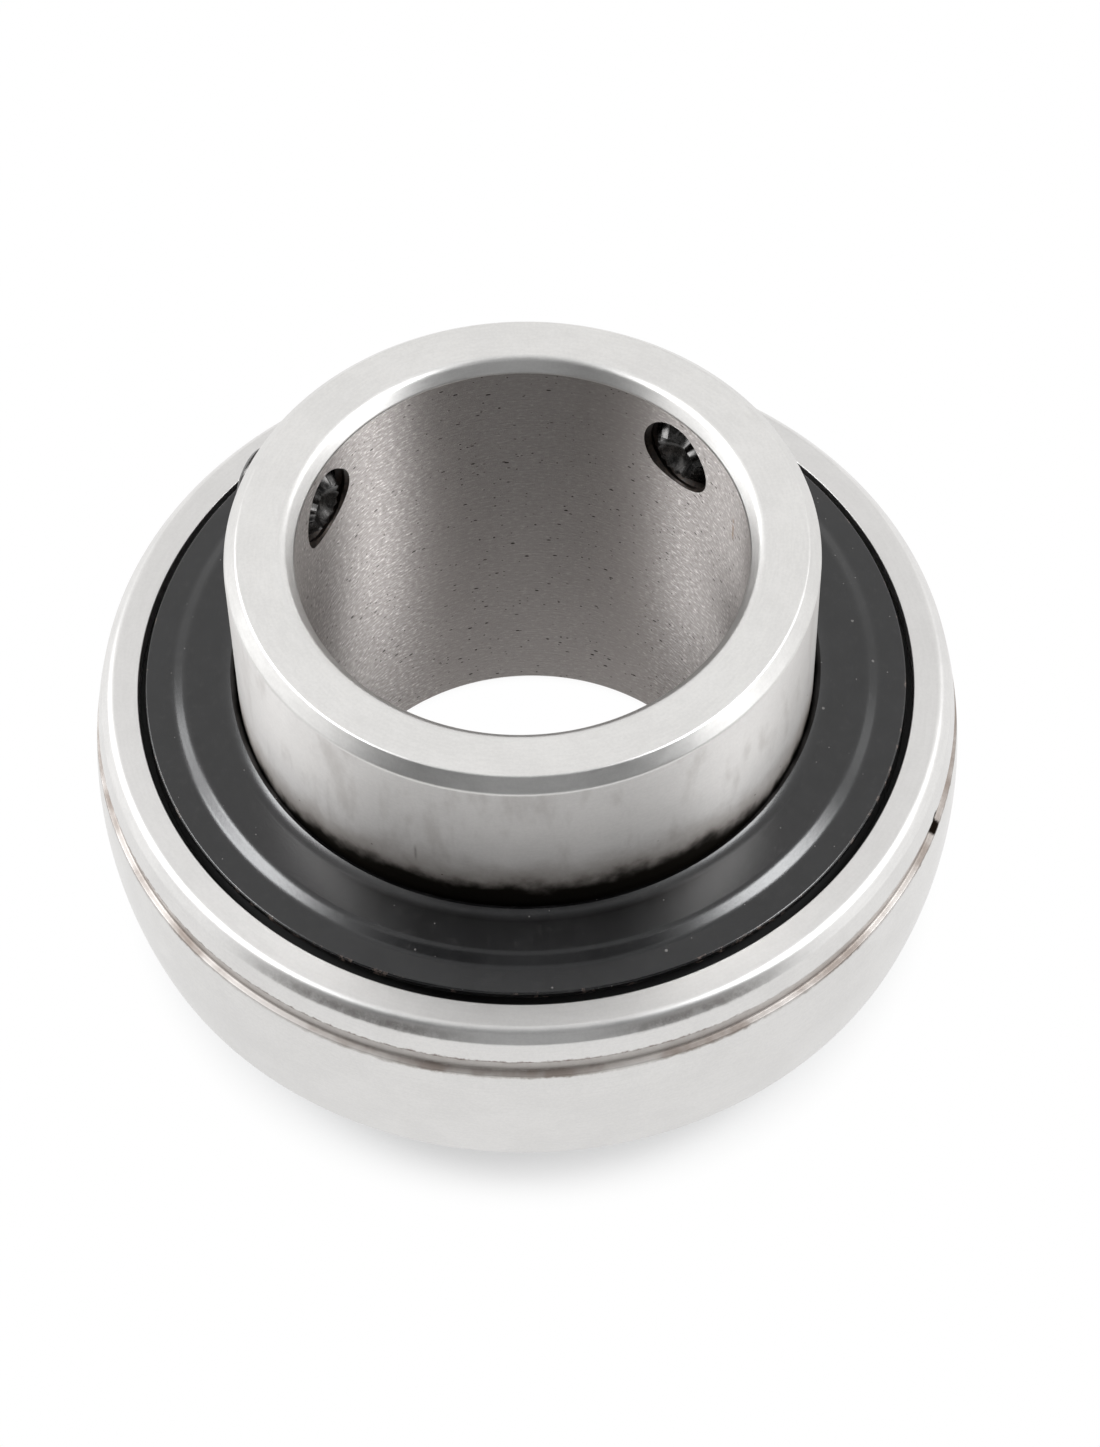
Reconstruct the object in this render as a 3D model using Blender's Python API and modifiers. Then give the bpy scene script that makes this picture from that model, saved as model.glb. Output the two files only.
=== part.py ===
"""Insert bearing for a 40 mm shaft, as an assembly of separate pieces.

A deep-groove ball bearing whose outer ring is a slice of a ball, so that it can tilt in its housing.
The inner ring is wider on one side, where two set screws clamp it to the shaft. A rubber seal sits in
the outer ring on each side, and a pressed steel slinger on the inner ring covers it.

The bearing's axis is Z. Z = 0 is the end face of the inner ring's short side, on which the part stands.
Heights in the profiles are counted from the plane of the ball centres. All sizes are in metres.
"""

from math import acos, asin, atan2, cos, degrees, hypot, pi, radians, sin, sqrt, tau

import bmesh
import bpy

MM = 0.001

# Driving sizes of the rings
BORE_DIAMETER = 40.0 * MM
SPHERE_DIAMETER = 80.0 * MM
OUTER_RING_WIDTH = 21.0 * MM
SHORT_SIDE = 19.0 * MM
LONG_SIDE = 30.2 * MM

# Raceways and balls. The shoulders rise by these shares of a ball's diameter.
LEAST_RACE_WALL = 3.1 * MM
BALL_COUNT = 9
BALL_CLEARANCE = 0.15 * MM
RACEWAY_CONFORMITY = 0.52
INNER_SHOULDER_SHARE = 0.1975
OUTER_SHOULDER_SHARE = 0.1875

# Edges of the rings
FACE_CHAMFER_WIDTH = 0.87 * MM
FACE_CHAMFER_DROP = 1.15 * MM
RIM_CHAMFER_WIDTH = 1.1 * MM
RIM_CHAMFER_DROP = 1.2 * MM
BORE_CHAMFER_WIDTH = 1.0 * MM
BORE_CHAMFER_DROP = 1.45 * MM

# Lubrication groove round the outside, and its holes
LUBE_GROOVE_INSET = 4.2 * MM
LUBE_GROOVE_WIDTH = 1.8 * MM
LUBE_GROOVE_DEPTH = 0.4 * MM
LUBE_HOLE_DIAMETER = 1.5 * MM
LUBE_HOLE_ANGLES = (radians(-21.5), radians(158.5))

# Seal seats in the outer ring
SEAL_SHOULDER_INSET = 3.2 * MM
RECESS_STEP = 1.5 * MM
SEAL_GROOVE_DEPTH = 0.6 * MM
SEAL_GROOVE_HEIGHT = 1.4 * MM
CAGE_TO_SHOULDER = 0.2 * MM

# Seals
SEAL_SEAT_GAP = 0.12 * MM
SEAL_RIM_WIDTH = 1.2 * MM
SEAL_WEB_THICKNESS = 0.8 * MM
SEAL_WEB_INSET = 0.2 * MM
SEAL_LIP_LENGTH = 1.8 * MM
SEAL_LIP_RISE = 0.5 * MM
SEAL_LIP_EDGE = 0.25 * MM
SEAL_LIP_CLEARANCE = 0.2 * MM

# Slingers. The flared lip at the bore, the step and the rim take these shares of the width.
SLINGER_THICKNESS = 0.8 * MM
SLINGER_SEAT_GAP = 0.1 * MM
SLINGER_RUNNING_GAP = 0.72 * MM
SLINGER_RIM_PROUD = 0.5 * MM
SLINGER_LIP_SHARE = 0.25
SLINGER_STEP_SHARE = 0.132
SLINGER_RIM_SHARE = 0.299
SLINGER_LIP_RISE = 0.39 * MM
SLINGER_DISC_RISE = 0.14 * MM
SLINGER_STEP_RISE = 0.55 * MM
SLINGER_RIM_RISE = 0.32 * MM
SLINGER_BEND = 0.6 * MM
COLLAR_TO_SEAL = 0.6 * MM

# Cage. Its width is this share of the room between the rings' shoulders.
CAGE_THICKNESS = 0.8 * MM
CAGE_WIDTH_SHARE = 0.65
CAGE_POCKET_CLEARANCE = 0.3 * MM
CAGE_JOINT_GAP = 0.05 * MM

# Cage rivets
RIVET_SHANK_DIAMETER = 1.5 * MM
RIVET_HEAD_DIAMETER = 2.8 * MM
RIVET_HEAD_HEIGHT = 0.6 * MM
RIVET_CLEARANCE = 0.1 * MM

# Set screws: knurled cup point inside, hexagon socket outside
SCREW_ANGLES = (radians(45.1), radians(152.6))
SCREW_INSET = 6.3 * MM
SCREW_HOLE_DIAMETER = 7.3 * MM
SCREW_CLEARANCE = 0.1 * MM
SCREW_LENGTH = 6.0 * MM
SCREW_POINT_RECESS = 1.6 * MM
SCREW_POINT_DIAMETER = 5.0 * MM
SCREW_POINT_DROP = 1.0 * MM
SCREW_CUP_DEPTH = 1.1 * MM
SCREW_KNURL_DEPTH = 0.3 * MM
SCREW_END_CHAMFER = 0.5 * MM
SOCKET_ACROSS_FLATS = 4.0 * MM
SOCKET_DEPTH = 3.0 * MM

# Facets
RING_STEPS = 44
RACEWAY_STEPS = 8
SPHERE_STEPS = 4
ROUND_STEPS = 3
POCKET_STEPS = 8
BALL_SEGMENTS = 16
BALL_RINGS = 8
RIVET_STEPS = 8
HOLE_STEPS = 24
LUBE_HOLE_STEPS = 12
SCREW_STEPS = 40
SHARP_ANGLE = radians(35.0)
MERGE_DISTANCE = 1e-7
CUT_OVERRUN = 2.0 * MM

# Places that follow from the sizes above
BALL_PLANE = SHORT_SIDE
BORE_RADIUS = BORE_DIAMETER / 2
SPHERE_RADIUS = SPHERE_DIAMETER / 2
PITCH_RADIUS = (BORE_RADIUS + SPHERE_RADIUS) / 2
FACE_HEIGHT = OUTER_RING_WIDTH / 2
SEAL_SHOULDER_HEIGHT = FACE_HEIGHT - SEAL_SHOULDER_INSET
LUBE_GROOVE_HEIGHT = FACE_HEIGHT - LUBE_GROOVE_INSET

# The balls fill the room between the seals, as far as each ring keeps its least wall
BALL_ROOM_IN_WALLS = PITCH_RADIUS - BORE_RADIUS - LEAST_RACE_WALL - BALL_CLEARANCE
BALL_ROOM_IN_WIDTH = SEAL_SHOULDER_HEIGHT - CAGE_TO_SHOULDER - CAGE_THICKNESS - CAGE_POCKET_CLEARANCE
BALL_RADIUS = min(BALL_ROOM_IN_WALLS, BALL_ROOM_IN_WIDTH)
BALL_DIAMETER = 2 * BALL_RADIUS
RACEWAY_RADIUS = BALL_DIAMETER * RACEWAY_CONFORMITY
INNER_RACE_BOTTOM = PITCH_RADIUS - BALL_RADIUS - BALL_CLEARANCE
OUTER_RACE_BOTTOM = PITCH_RADIUS + BALL_RADIUS + BALL_CLEARANCE
INNER_SHOULDER_RADIUS = INNER_RACE_BOTTOM + BALL_DIAMETER * INNER_SHOULDER_SHARE
OUTER_SHOULDER_RADIUS = OUTER_RACE_BOTTOM - BALL_DIAMETER * OUTER_SHOULDER_SHARE
RECESS_RADIUS = OUTER_SHOULDER_RADIUS + RECESS_STEP
SEAL_GROOVE_RADIUS = RECESS_RADIUS + SEAL_GROOVE_DEPTH
POCKET_RADIUS = BALL_RADIUS + CAGE_POCKET_CLEARANCE
CAGE_WIDTH = (OUTER_SHOULDER_RADIUS - INNER_SHOULDER_RADIUS) * CAGE_WIDTH_SHARE
SEAL_FOOT = SEAL_SHOULDER_HEIGHT + SEAL_SEAT_GAP
SEAL_WEB_HEAD = SEAL_FOOT + SEAL_WEB_INSET + SEAL_WEB_THICKNESS
SEAL_LIP_HEAD = SEAL_WEB_HEAD + SEAL_LIP_RISE
SCREW_RADIUS = SCREW_HOLE_DIAMETER / 2 - SCREW_CLEARANCE
SCREW_HEIGHT = LONG_SIDE - SCREW_INSET
SCREW_CENTRE_RADIUS = BORE_RADIUS + SCREW_POINT_RECESS + SCREW_LENGTH / 2


def clear_scene():
    for obj in list(bpy.data.objects):
        bpy.data.objects.remove(obj, do_unlink=True)


def new_collection(name):
    collection = bpy.data.collections.new(name)
    bpy.context.scene.collection.children.link(collection)
    return collection


def new_material(name, colour, roughness, metallic):
    material = bpy.data.materials.new(name)
    material.use_nodes = True
    shader = material.node_tree.nodes["Principled BSDF"]
    shader.inputs["Base Color"].default_value = (*colour, 1.0)
    shader.inputs["Roughness"].default_value = roughness
    shader.inputs["Metallic"].default_value = metallic
    return material


def new_pivot(name, height, collection, parent=None):
    """An empty on the bearing's axis, which carries the pieces that turn together."""
    pivot = bpy.data.objects.new(name, None)
    pivot.location.z = height
    pivot.parent = parent
    collection.objects.link(pivot)
    return pivot


def arc(centre, radius, start, end, steps):
    """Points from the angle start to end, both included, about a centre in the (radius, height) plane."""
    angles = (start + (end - start) * i / steps for i in range(steps + 1))
    return [(centre[0] + radius * cos(a), centre[1] + radius * sin(a)) for a in angles]


def rounding(start, end, steps):
    """A quarter of an ellipse from a point on a face (start) to one on a wall (end), bulging outwards."""
    width = end[0] - start[0]
    drop = end[1] - start[1]
    turns = (pi / 2 * i / steps for i in range(steps + 1))
    return [(start[0] + width * sin(t), end[1] - drop * cos(t)) for t in turns]


def flipped(profile):
    """The same profile on the other side of the ball plane, still running round the same way."""
    return [(radius, -height) for radius, height in reversed(profile)]


def turned(name, profile, steps, closed=True):
    """A profile of (radius, height) points turned about Z. It runs down the outer side."""
    count = len(profile)
    edges = [(i, (i + 1) % count) for i in range(count if closed else count - 1)]
    mesh = bpy.data.meshes.new(name)
    mesh.from_pydata([(radius, 0.0, height) for radius, height in profile], edges, [])
    obj = bpy.data.objects.new(name, mesh)
    screw = obj.modifiers.new("Turn", "SCREW")
    screw.axis = "Z"
    screw.angle = tau
    screw.steps = steps
    screw.render_steps = steps
    screw.use_merge_vertices = True
    screw.merge_threshold = MERGE_DISTANCE
    return obj


def cylinder_mesh(name, radius, length, steps):
    """A closed cylinder or prism along Z, centred on its origin."""
    shape = bmesh.new()
    bmesh.ops.create_cone(
        shape, cap_ends=True, segments=steps, radius1=radius, radius2=radius, depth=length
    )
    mesh = bpy.data.meshes.new(name)
    shape.to_mesh(mesh)
    shape.free()
    return mesh


def new_cutter(name, mesh, collection):
    cutter = bpy.data.objects.new(name, mesh)
    cutter.hide_render = True
    cutter.display_type = "WIRE"
    collection.objects.link(cutter)
    return cutter


def cut(obj, cutter):
    boolean = obj.modifiers.new("Cut " + cutter.name, "BOOLEAN")
    boolean.operation = "DIFFERENCE"
    boolean.object = cutter


def point_outwards(obj, angle, radius, height):
    """Places an object on a radial line, with its own +Z pointing away from the bearing's axis."""
    obj.location = (radius * cos(angle), radius * sin(angle), height)
    obj.rotation_euler = (0.0, pi / 2, angle)


def finish(obj, collection, material, parent):
    """Turns the modifiers into a mesh with sharp corners and smooth rounds, and places the piece."""
    if obj.name not in collection.objects:
        collection.objects.link(obj)
    bpy.context.view_layer.update()
    graph = bpy.context.evaluated_depsgraph_get()
    mesh = bpy.data.meshes.new_from_object(obj.evaluated_get(graph))
    mesh.name = obj.name
    obj.modifiers.clear()
    obj.data = mesh
    mesh.shade_smooth()
    mesh.set_sharp_from_angle(angle=SHARP_ANGLE)
    mesh.materials.clear()
    mesh.materials.append(material)
    obj.parent = parent
    return obj


def sphere_radius_at(height):
    return sqrt(SPHERE_RADIUS**2 - height**2)


def sphere_arc(top, bottom, steps):
    start = asin(top / SPHERE_RADIUS)
    end = asin(bottom / SPHERE_RADIUS)
    return arc((0.0, 0.0), SPHERE_RADIUS, start, end, steps)


def seal_seat():
    """The recess, the groove for the seal's rim and its shoulder, from the face inwards."""
    groove_top = SEAL_SHOULDER_HEIGHT + SEAL_GROOVE_HEIGHT
    return [
        (RECESS_RADIUS, FACE_HEIGHT),
        (RECESS_RADIUS, groove_top),
        (SEAL_GROOVE_RADIUS, groove_top),
        (SEAL_GROOVE_RADIUS, SEAL_SHOULDER_HEIGHT),
        (OUTER_SHOULDER_RADIUS, SEAL_SHOULDER_HEIGHT),
    ]


def outer_ring_profile():
    edge = FACE_HEIGHT - FACE_CHAMFER_DROP
    face_radius = sphere_radius_at(edge) - FACE_CHAMFER_WIDTH
    groove_top = LUBE_GROOVE_HEIGHT + LUBE_GROOVE_WIDTH / 2
    groove_foot = LUBE_GROOVE_HEIGHT - LUBE_GROOVE_WIDTH / 2
    groove_radius = sphere_radius_at(LUBE_GROOVE_HEIGHT) - LUBE_GROOVE_DEPTH
    race_centre = OUTER_RACE_BOTTOM - RACEWAY_RADIUS
    race_turn = acos((OUTER_SHOULDER_RADIUS - race_centre) / RACEWAY_RADIUS)
    race = arc((race_centre, 0.0), RACEWAY_RADIUS, -race_turn, race_turn, RACEWAY_STEPS)
    outside = [(face_radius, FACE_HEIGHT)]
    outside += sphere_arc(edge, groove_top, 1)
    outside += [(groove_radius, groove_top), (groove_radius, groove_foot)]
    outside += sphere_arc(groove_foot, 0.0, SPHERE_STEPS // 2)
    outside += sphere_arc(0.0, -edge, SPHERE_STEPS)[1:]
    outside += [(face_radius, -FACE_HEIGHT)]
    top_seat = list(reversed(seal_seat()))
    bottom_seat = [(radius, -height) for radius, height in seal_seat()]
    return outside + bottom_seat + race + top_seat


def inner_ring_profile():
    race_centre = INNER_RACE_BOTTOM + RACEWAY_RADIUS
    race_turn = acos((race_centre - INNER_SHOULDER_RADIUS) / RACEWAY_RADIUS)
    race = arc((race_centre, 0.0), RACEWAY_RADIUS, pi - race_turn, pi + race_turn, RACEWAY_STEPS)

    def end(length):
        """From the bore over the end face to the outside, at a height of length."""
        return [
            (BORE_RADIUS, length - BORE_CHAMFER_DROP),
            (BORE_RADIUS + BORE_CHAMFER_WIDTH, length),
            (INNER_SHOULDER_RADIUS - RIM_CHAMFER_WIDTH, length),
            (INNER_SHOULDER_RADIUS, length - RIM_CHAMFER_DROP),
        ]

    return end(LONG_SIDE) + race + flipped(end(SHORT_SIDE))


def slinger_profile():
    """A shallow stepped cone, flared at its inner edge and bent down into a collar on the inner ring."""
    bore = INNER_SHOULDER_RADIUS + SLINGER_SEAT_GAP
    collar = bore + SLINGER_THICKNESS
    rim = RECESS_RADIUS - SLINGER_RUNNING_GAP
    rim_top = FACE_HEIGHT + SLINGER_RIM_PROUD
    step_foot = (rim - (rim - bore) * SLINGER_RIM_SHARE, rim_top + SLINGER_RIM_RISE)
    step_head = (step_foot[0] - (rim - bore) * SLINGER_STEP_SHARE, step_foot[1] + SLINGER_STEP_RISE)
    lip_foot = (bore + (rim - bore) * SLINGER_LIP_SHARE, step_head[1] + SLINGER_DISC_RISE)
    top = lip_foot[1] + SLINGER_LIP_RISE
    bend = arc((bore + SLINGER_BEND, top - SLINGER_BEND), SLINGER_BEND, pi, pi / 2, ROUND_STEPS)
    flare = ((bend[-1][0] + lip_foot[0]) / 2, lip_foot[1] + SLINGER_LIP_RISE / 4)
    collar_foot = SEAL_LIP_HEAD + COLLAR_TO_SEAL
    under = [
        (rim, rim_top - SLINGER_THICKNESS),
        (step_foot[0], step_foot[1] - SLINGER_THICKNESS),
        (step_head[0], step_head[1] - SLINGER_THICKNESS),
        (collar, lip_foot[1] - SLINGER_THICKNESS),
        (collar, collar_foot),
        (bore, collar_foot),
    ]
    return bend + [flare, lip_foot, step_head, step_foot, (rim, rim_top)] + under


def seal_profile():
    """A flat web with a thick rim in the outer ring's groove and a thin lip at the inner ring."""
    rim = SEAL_GROOVE_RADIUS - SEAL_SEAT_GAP
    web = rim - SEAL_RIM_WIDTH
    lip_edge = INNER_SHOULDER_RADIUS + SEAL_LIP_CLEARANCE
    lip_root = lip_edge + SEAL_LIP_LENGTH
    head = SEAL_SHOULDER_HEIGHT + SEAL_GROOVE_HEIGHT - SEAL_SEAT_GAP
    web_foot = SEAL_FOOT + SEAL_WEB_INSET
    return [
        (lip_edge, SEAL_LIP_HEAD),
        (lip_root, SEAL_WEB_HEAD),
        (web, SEAL_WEB_HEAD),
        (web, head),
        (rim, head),
        (rim, SEAL_FOOT),
        (web, SEAL_FOOT),
        (web, web_foot),
        (lip_root, web_foot),
        (lip_edge, SEAL_LIP_HEAD - SEAL_LIP_EDGE),
    ]


def rivet_profile(seat):
    """A dome head, a shank and a second head. The heads' flat undersides are at +seat and -seat."""
    shank = RIVET_SHANK_DIAMETER / 2
    head = RIVET_HEAD_DIAMETER / 2
    dome = rounding((0.0, seat + RIVET_HEAD_HEIGHT), (head, seat), ROUND_STEPS - 1)
    return dome + [(shank, seat), (shank, -seat)] + flipped(dome)


def screw_profile():
    """Flat socket end at the top, chamfered, and a cup point at the foot with the cup inside it."""
    head = SCREW_LENGTH / 2
    point = SCREW_POINT_DIAMETER / 2
    return [
        (0.0, head),
        (SCREW_RADIUS - SCREW_END_CHAMFER, head),
        (SCREW_RADIUS, head - SCREW_END_CHAMFER),
        (SCREW_RADIUS, SCREW_POINT_DROP - head),
        (point, -head),
        (point - SCREW_CUP_DEPTH / 2, SCREW_CUP_DEPTH / 2 - head),
        (0.0, SCREW_CUP_DEPTH - head),
    ]


def knurl_point(mesh):
    """Sinks every other corner of the cup's rim, which leaves a crown of sharp teeth."""
    rim = SCREW_POINT_DIAMETER / 2
    for vertex in mesh.vertices:
        x, y, z = vertex.co
        on_rim = abs(hypot(x, y) - rim) < MERGE_DISTANCE * 10 and z < 0.0
        tooth = round(degrees(atan2(y, x)) * SCREW_STEPS / 360)
        if on_rim and tooth % 2:
            vertex.co.z = z + SCREW_KNURL_DEPTH


def cage_half_mesh(name):
    """One pressed half as an open strip: flat between the balls, and arched over each of them."""
    flat_half = pi / BALL_COUNT * PITCH_RADIUS - POCKET_RADIUS
    pocket = arc((0.0, 0.0), POCKET_RADIUS, 0.0, pi, POCKET_STEPS)
    path = [(POCKET_RADIUS + flat_half, 0.0)] + pocket
    radii = (PITCH_RADIUS - CAGE_WIDTH / 2, PITCH_RADIUS + CAGE_WIDTH / 2)
    shape = bmesh.new()
    stations = []
    for ball in range(BALL_COUNT):
        for along, height in path:
            angle = tau * ball / BALL_COUNT - along / PITCH_RADIUS
            stations.append(
                [shape.verts.new((r * cos(angle), r * sin(angle), height)) for r in radii]
            )
    for this, after in zip(stations, stations[1:] + stations[:1]):
        shape.faces.new((this[0], this[1], after[1], after[0]))
    mesh = bpy.data.meshes.new(name)
    shape.to_mesh(mesh)
    shape.free()
    return mesh


def rivet_angles():
    return [tau * (i + 0.5) / BALL_COUNT for i in range(BALL_COUNT)]


def build_outer_ring(parts, cutters, material, parent):
    ring = turned("outer_ring", outer_ring_profile(), RING_STEPS)
    parts.objects.link(ring)
    length = SPHERE_RADIUS - OUTER_SHOULDER_RADIUS + 2 * CUT_OVERRUN
    middle = (SPHERE_RADIUS + OUTER_SHOULDER_RADIUS) / 2
    for number, angle in enumerate(LUBE_HOLE_ANGLES, 1):
        name = f"lube_hole_cutter_{number}"
        mesh = cylinder_mesh(name, LUBE_HOLE_DIAMETER / 2, length, LUBE_HOLE_STEPS)
        cutter = new_cutter(name, mesh, cutters)
        point_outwards(cutter, angle, middle, LUBE_GROOVE_HEIGHT)
        cut(ring, cutter)
    return finish(ring, parts, material, parent)


def build_inner_ring(parts, cutters, material, parent):
    ring = turned("inner_ring", inner_ring_profile(), RING_STEPS)
    parts.objects.link(ring)
    length = INNER_SHOULDER_RADIUS - BORE_RADIUS + 2 * CUT_OVERRUN
    middle = (INNER_SHOULDER_RADIUS + BORE_RADIUS) / 2
    for number, angle in enumerate(SCREW_ANGLES, 1):
        name = f"screw_hole_cutter_{number}"
        mesh = cylinder_mesh(name, SCREW_HOLE_DIAMETER / 2, length, HOLE_STEPS)
        cutter = new_cutter(name, mesh, cutters)
        point_outwards(cutter, angle, middle, SCREW_HEIGHT)
        cut(ring, cutter)
    return finish(ring, parts, material, parent)


def build_balls(parts, material, parent):
    shape = bmesh.new()
    bmesh.ops.create_uvsphere(
        shape, u_segments=BALL_SEGMENTS, v_segments=BALL_RINGS, radius=BALL_RADIUS
    )
    mesh = bpy.data.meshes.new("ball")
    shape.to_mesh(mesh)
    shape.free()
    mesh.shade_smooth()
    mesh.materials.append(material)
    for number in range(BALL_COUNT):
        ball = bpy.data.objects.new(f"ball_{number + 1}", mesh)
        angle = tau * number / BALL_COUNT
        ball.location = (PITCH_RADIUS * cos(angle), PITCH_RADIUS * sin(angle), 0.0)
        ball.parent = parent
        parts.objects.link(ball)


def rivet_hole_cutter(cutters):
    """Nine short cylinders in one object, one through each flat of the cage."""
    shape = bmesh.new()
    radius = RIVET_SHANK_DIAMETER / 2 + RIVET_CLEARANCE
    depth = 2 * CAGE_THICKNESS + 2 * CUT_OVERRUN
    for angle in rivet_angles():
        made = bmesh.ops.create_cone(
            shape, cap_ends=True, segments=RIVET_STEPS, radius1=radius, radius2=radius, depth=depth
        )
        offset = (PITCH_RADIUS * cos(angle), PITCH_RADIUS * sin(angle), 0.0)
        bmesh.ops.translate(shape, verts=made["verts"], vec=offset)
    mesh = bpy.data.meshes.new("rivet_hole_cutter")
    shape.to_mesh(mesh)
    shape.free()
    return new_cutter("rivet_hole_cutter", mesh, cutters)


def build_cage(parts, cutters, material, parent):
    holes = rivet_hole_cutter(cutters)
    for name, side in (("cage_upper", 1.0), ("cage_lower", -1.0)):
        half = bpy.data.objects.new(name, cage_half_mesh(name))
        parts.objects.link(half)
        wall = half.modifiers.new("Wall", "SOLIDIFY")
        wall.thickness = CAGE_THICKNESS
        wall.offset = 1.0
        wall.use_even_offset = True
        cut(half, holes)
        finish(half, parts, material, parent)
        half.location.z = side * CAGE_JOINT_GAP / 2
        half.rotation_euler.x = 0.0 if side > 0 else pi


def build_rivets(parts, material, parent):
    seat = CAGE_JOINT_GAP / 2 + CAGE_THICKNESS + RIVET_CLEARANCE
    first = turned("cage_rivet_1", rivet_profile(seat), RIVET_STEPS, closed=False)
    finish(first, parts, material, parent)
    for number, angle in enumerate(rivet_angles(), 1):
        rivet = first
        if number > 1:
            rivet = bpy.data.objects.new(f"cage_rivet_{number}", first.data)
            rivet.parent = parent
            parts.objects.link(rivet)
        rivet.location = (PITCH_RADIUS * cos(angle), PITCH_RADIUS * sin(angle), 0.0)
        rivet.rotation_euler.z = angle


def build_pair(stem, profile, parts, material, parent):
    """The same turned piece on both sides of the ball row."""
    upper = turned(f"{stem}_upper", profile, RING_STEPS)
    lower = turned(f"{stem}_lower", flipped(profile), RING_STEPS)
    finish(upper, parts, material, parent)
    finish(lower, parts, material, parent)


def build_set_screws(parts, cutters, material, parent):
    corner_radius = SOCKET_ACROSS_FLATS / 2 / cos(pi / 6)
    length = SOCKET_DEPTH + CUT_OVERRUN
    for number, angle in enumerate(SCREW_ANGLES, 1):
        screw = turned(f"set_screw_{number}", screw_profile(), SCREW_STEPS, closed=False)
        name = f"socket_cutter_{number}"
        cutter = new_cutter(name, cylinder_mesh(name, corner_radius, length, 6), cutters)
        cutter.location.z = SCREW_LENGTH / 2 - SOCKET_DEPTH + length / 2
        cut(screw, cutter)
        finish(screw, parts, material, parent)
        knurl_point(screw.data)
        point_outwards(screw, angle, SCREW_CENTRE_RADIUS, SCREW_HEIGHT)


def build():
    clear_scene()
    parts = new_collection("insert_bearing")
    cutters = new_collection("cutters")
    ground_steel = new_material("ground_steel", (0.72, 0.71, 0.69), 0.30, 1.0)
    ball_steel = new_material("ball_steel", (0.78, 0.78, 0.79), 0.08, 1.0)
    pressed_steel = new_material("pressed_steel", (0.52, 0.50, 0.47), 0.38, 1.0)
    black_slinger = new_material("black_slinger", (0.045, 0.045, 0.048), 0.42, 0.3)
    seal_rubber = new_material("seal_rubber", (0.018, 0.018, 0.018), 0.65, 0.0)
    black_oxide = new_material("black_oxide", (0.03, 0.03, 0.032), 0.35, 0.6)

    centre = new_pivot("bearing_centre", BALL_PLANE, parts)
    inner_axis = new_pivot("inner_ring_axis", 0.0, parts, centre)
    cage_axis = new_pivot("cage_axis", 0.0, parts, centre)

    build_outer_ring(parts, cutters, ground_steel, centre)
    build_pair("seal", seal_profile(), parts, seal_rubber, centre)
    build_inner_ring(parts, cutters, ground_steel, inner_axis)
    build_pair("slinger", slinger_profile(), parts, black_slinger, inner_axis)
    build_set_screws(parts, cutters, black_oxide, inner_axis)
    build_cage(parts, cutters, pressed_steel, cage_axis)
    build_rivets(parts, pressed_steel, cage_axis)
    build_balls(parts, ball_steel, cage_axis)


build()
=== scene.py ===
from math import acos, asin, ceil, cos, degrees, pi, radians, sin, sqrt, tan, tau

import bmesh
import bpy
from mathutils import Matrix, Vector


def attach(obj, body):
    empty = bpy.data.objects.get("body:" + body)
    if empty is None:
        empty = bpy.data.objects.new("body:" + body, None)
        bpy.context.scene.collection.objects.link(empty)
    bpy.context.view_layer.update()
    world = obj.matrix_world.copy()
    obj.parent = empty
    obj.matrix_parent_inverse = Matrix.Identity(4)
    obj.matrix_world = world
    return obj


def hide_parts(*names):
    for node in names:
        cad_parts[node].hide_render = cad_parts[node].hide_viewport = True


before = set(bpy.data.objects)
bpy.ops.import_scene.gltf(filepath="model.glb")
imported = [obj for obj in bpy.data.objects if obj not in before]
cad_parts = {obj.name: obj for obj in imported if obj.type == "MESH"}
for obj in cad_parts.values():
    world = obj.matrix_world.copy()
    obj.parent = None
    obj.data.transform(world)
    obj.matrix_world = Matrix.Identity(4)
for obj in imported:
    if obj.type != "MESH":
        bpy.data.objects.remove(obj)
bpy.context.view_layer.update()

# The looks of the insert bearing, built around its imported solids.
# Sizes are in metres. Heights in the outlines are counted from the plane of the ball centres.

MM = 0.001
TINY = 1e-7

# Sizes that the solids have too
BALL_PLANE = 19.0 * MM
BORE_RADIUS = 20.0 * MM
SPHERE_RADIUS = 40.0 * MM
PITCH_RADIUS = 30.0 * MM
SHORT_SIDE = 19.0 * MM
LONG_SIDE = 30.2 * MM
FACE_HEIGHT = 10.5 * MM
INNER_RADIUS = 26.22 * MM
SHOULDER_RADIUS = 33.9 * MM
RECESS_RADIUS = 35.4 * MM
SEAL_GROOVE_RADIUS = 36.0 * MM
SEAL_GROOVE_TOP = 8.7 * MM
SEAL_GROOVE_FOOT = 7.3 * MM
BALL_RADIUS = 6.0 * MM
BALL_COUNT = 9
RACE_RADIUS = 6.24 * MM
INNER_RACE_BOTTOM = 23.85 * MM
OUTER_RACE_BOTTOM = 36.15 * MM

# Edges of the outer ring
OUTER_CHAMFER_HEIGHT = 1.15 * MM
OUTER_CHAMFER_REACH = 0.87 * MM
OUTER_FACE_ROUND = 0.9 * MM
OUTER_SPHERE_ROUND = 0.6 * MM
SPHERE_START = 0.4 * MM
RECESS_ROUND = 0.12 * MM
SEAL_GROOVE_ROUND = 0.2 * MM
SHOULDER_ROUND = 0.15 * MM

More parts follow.
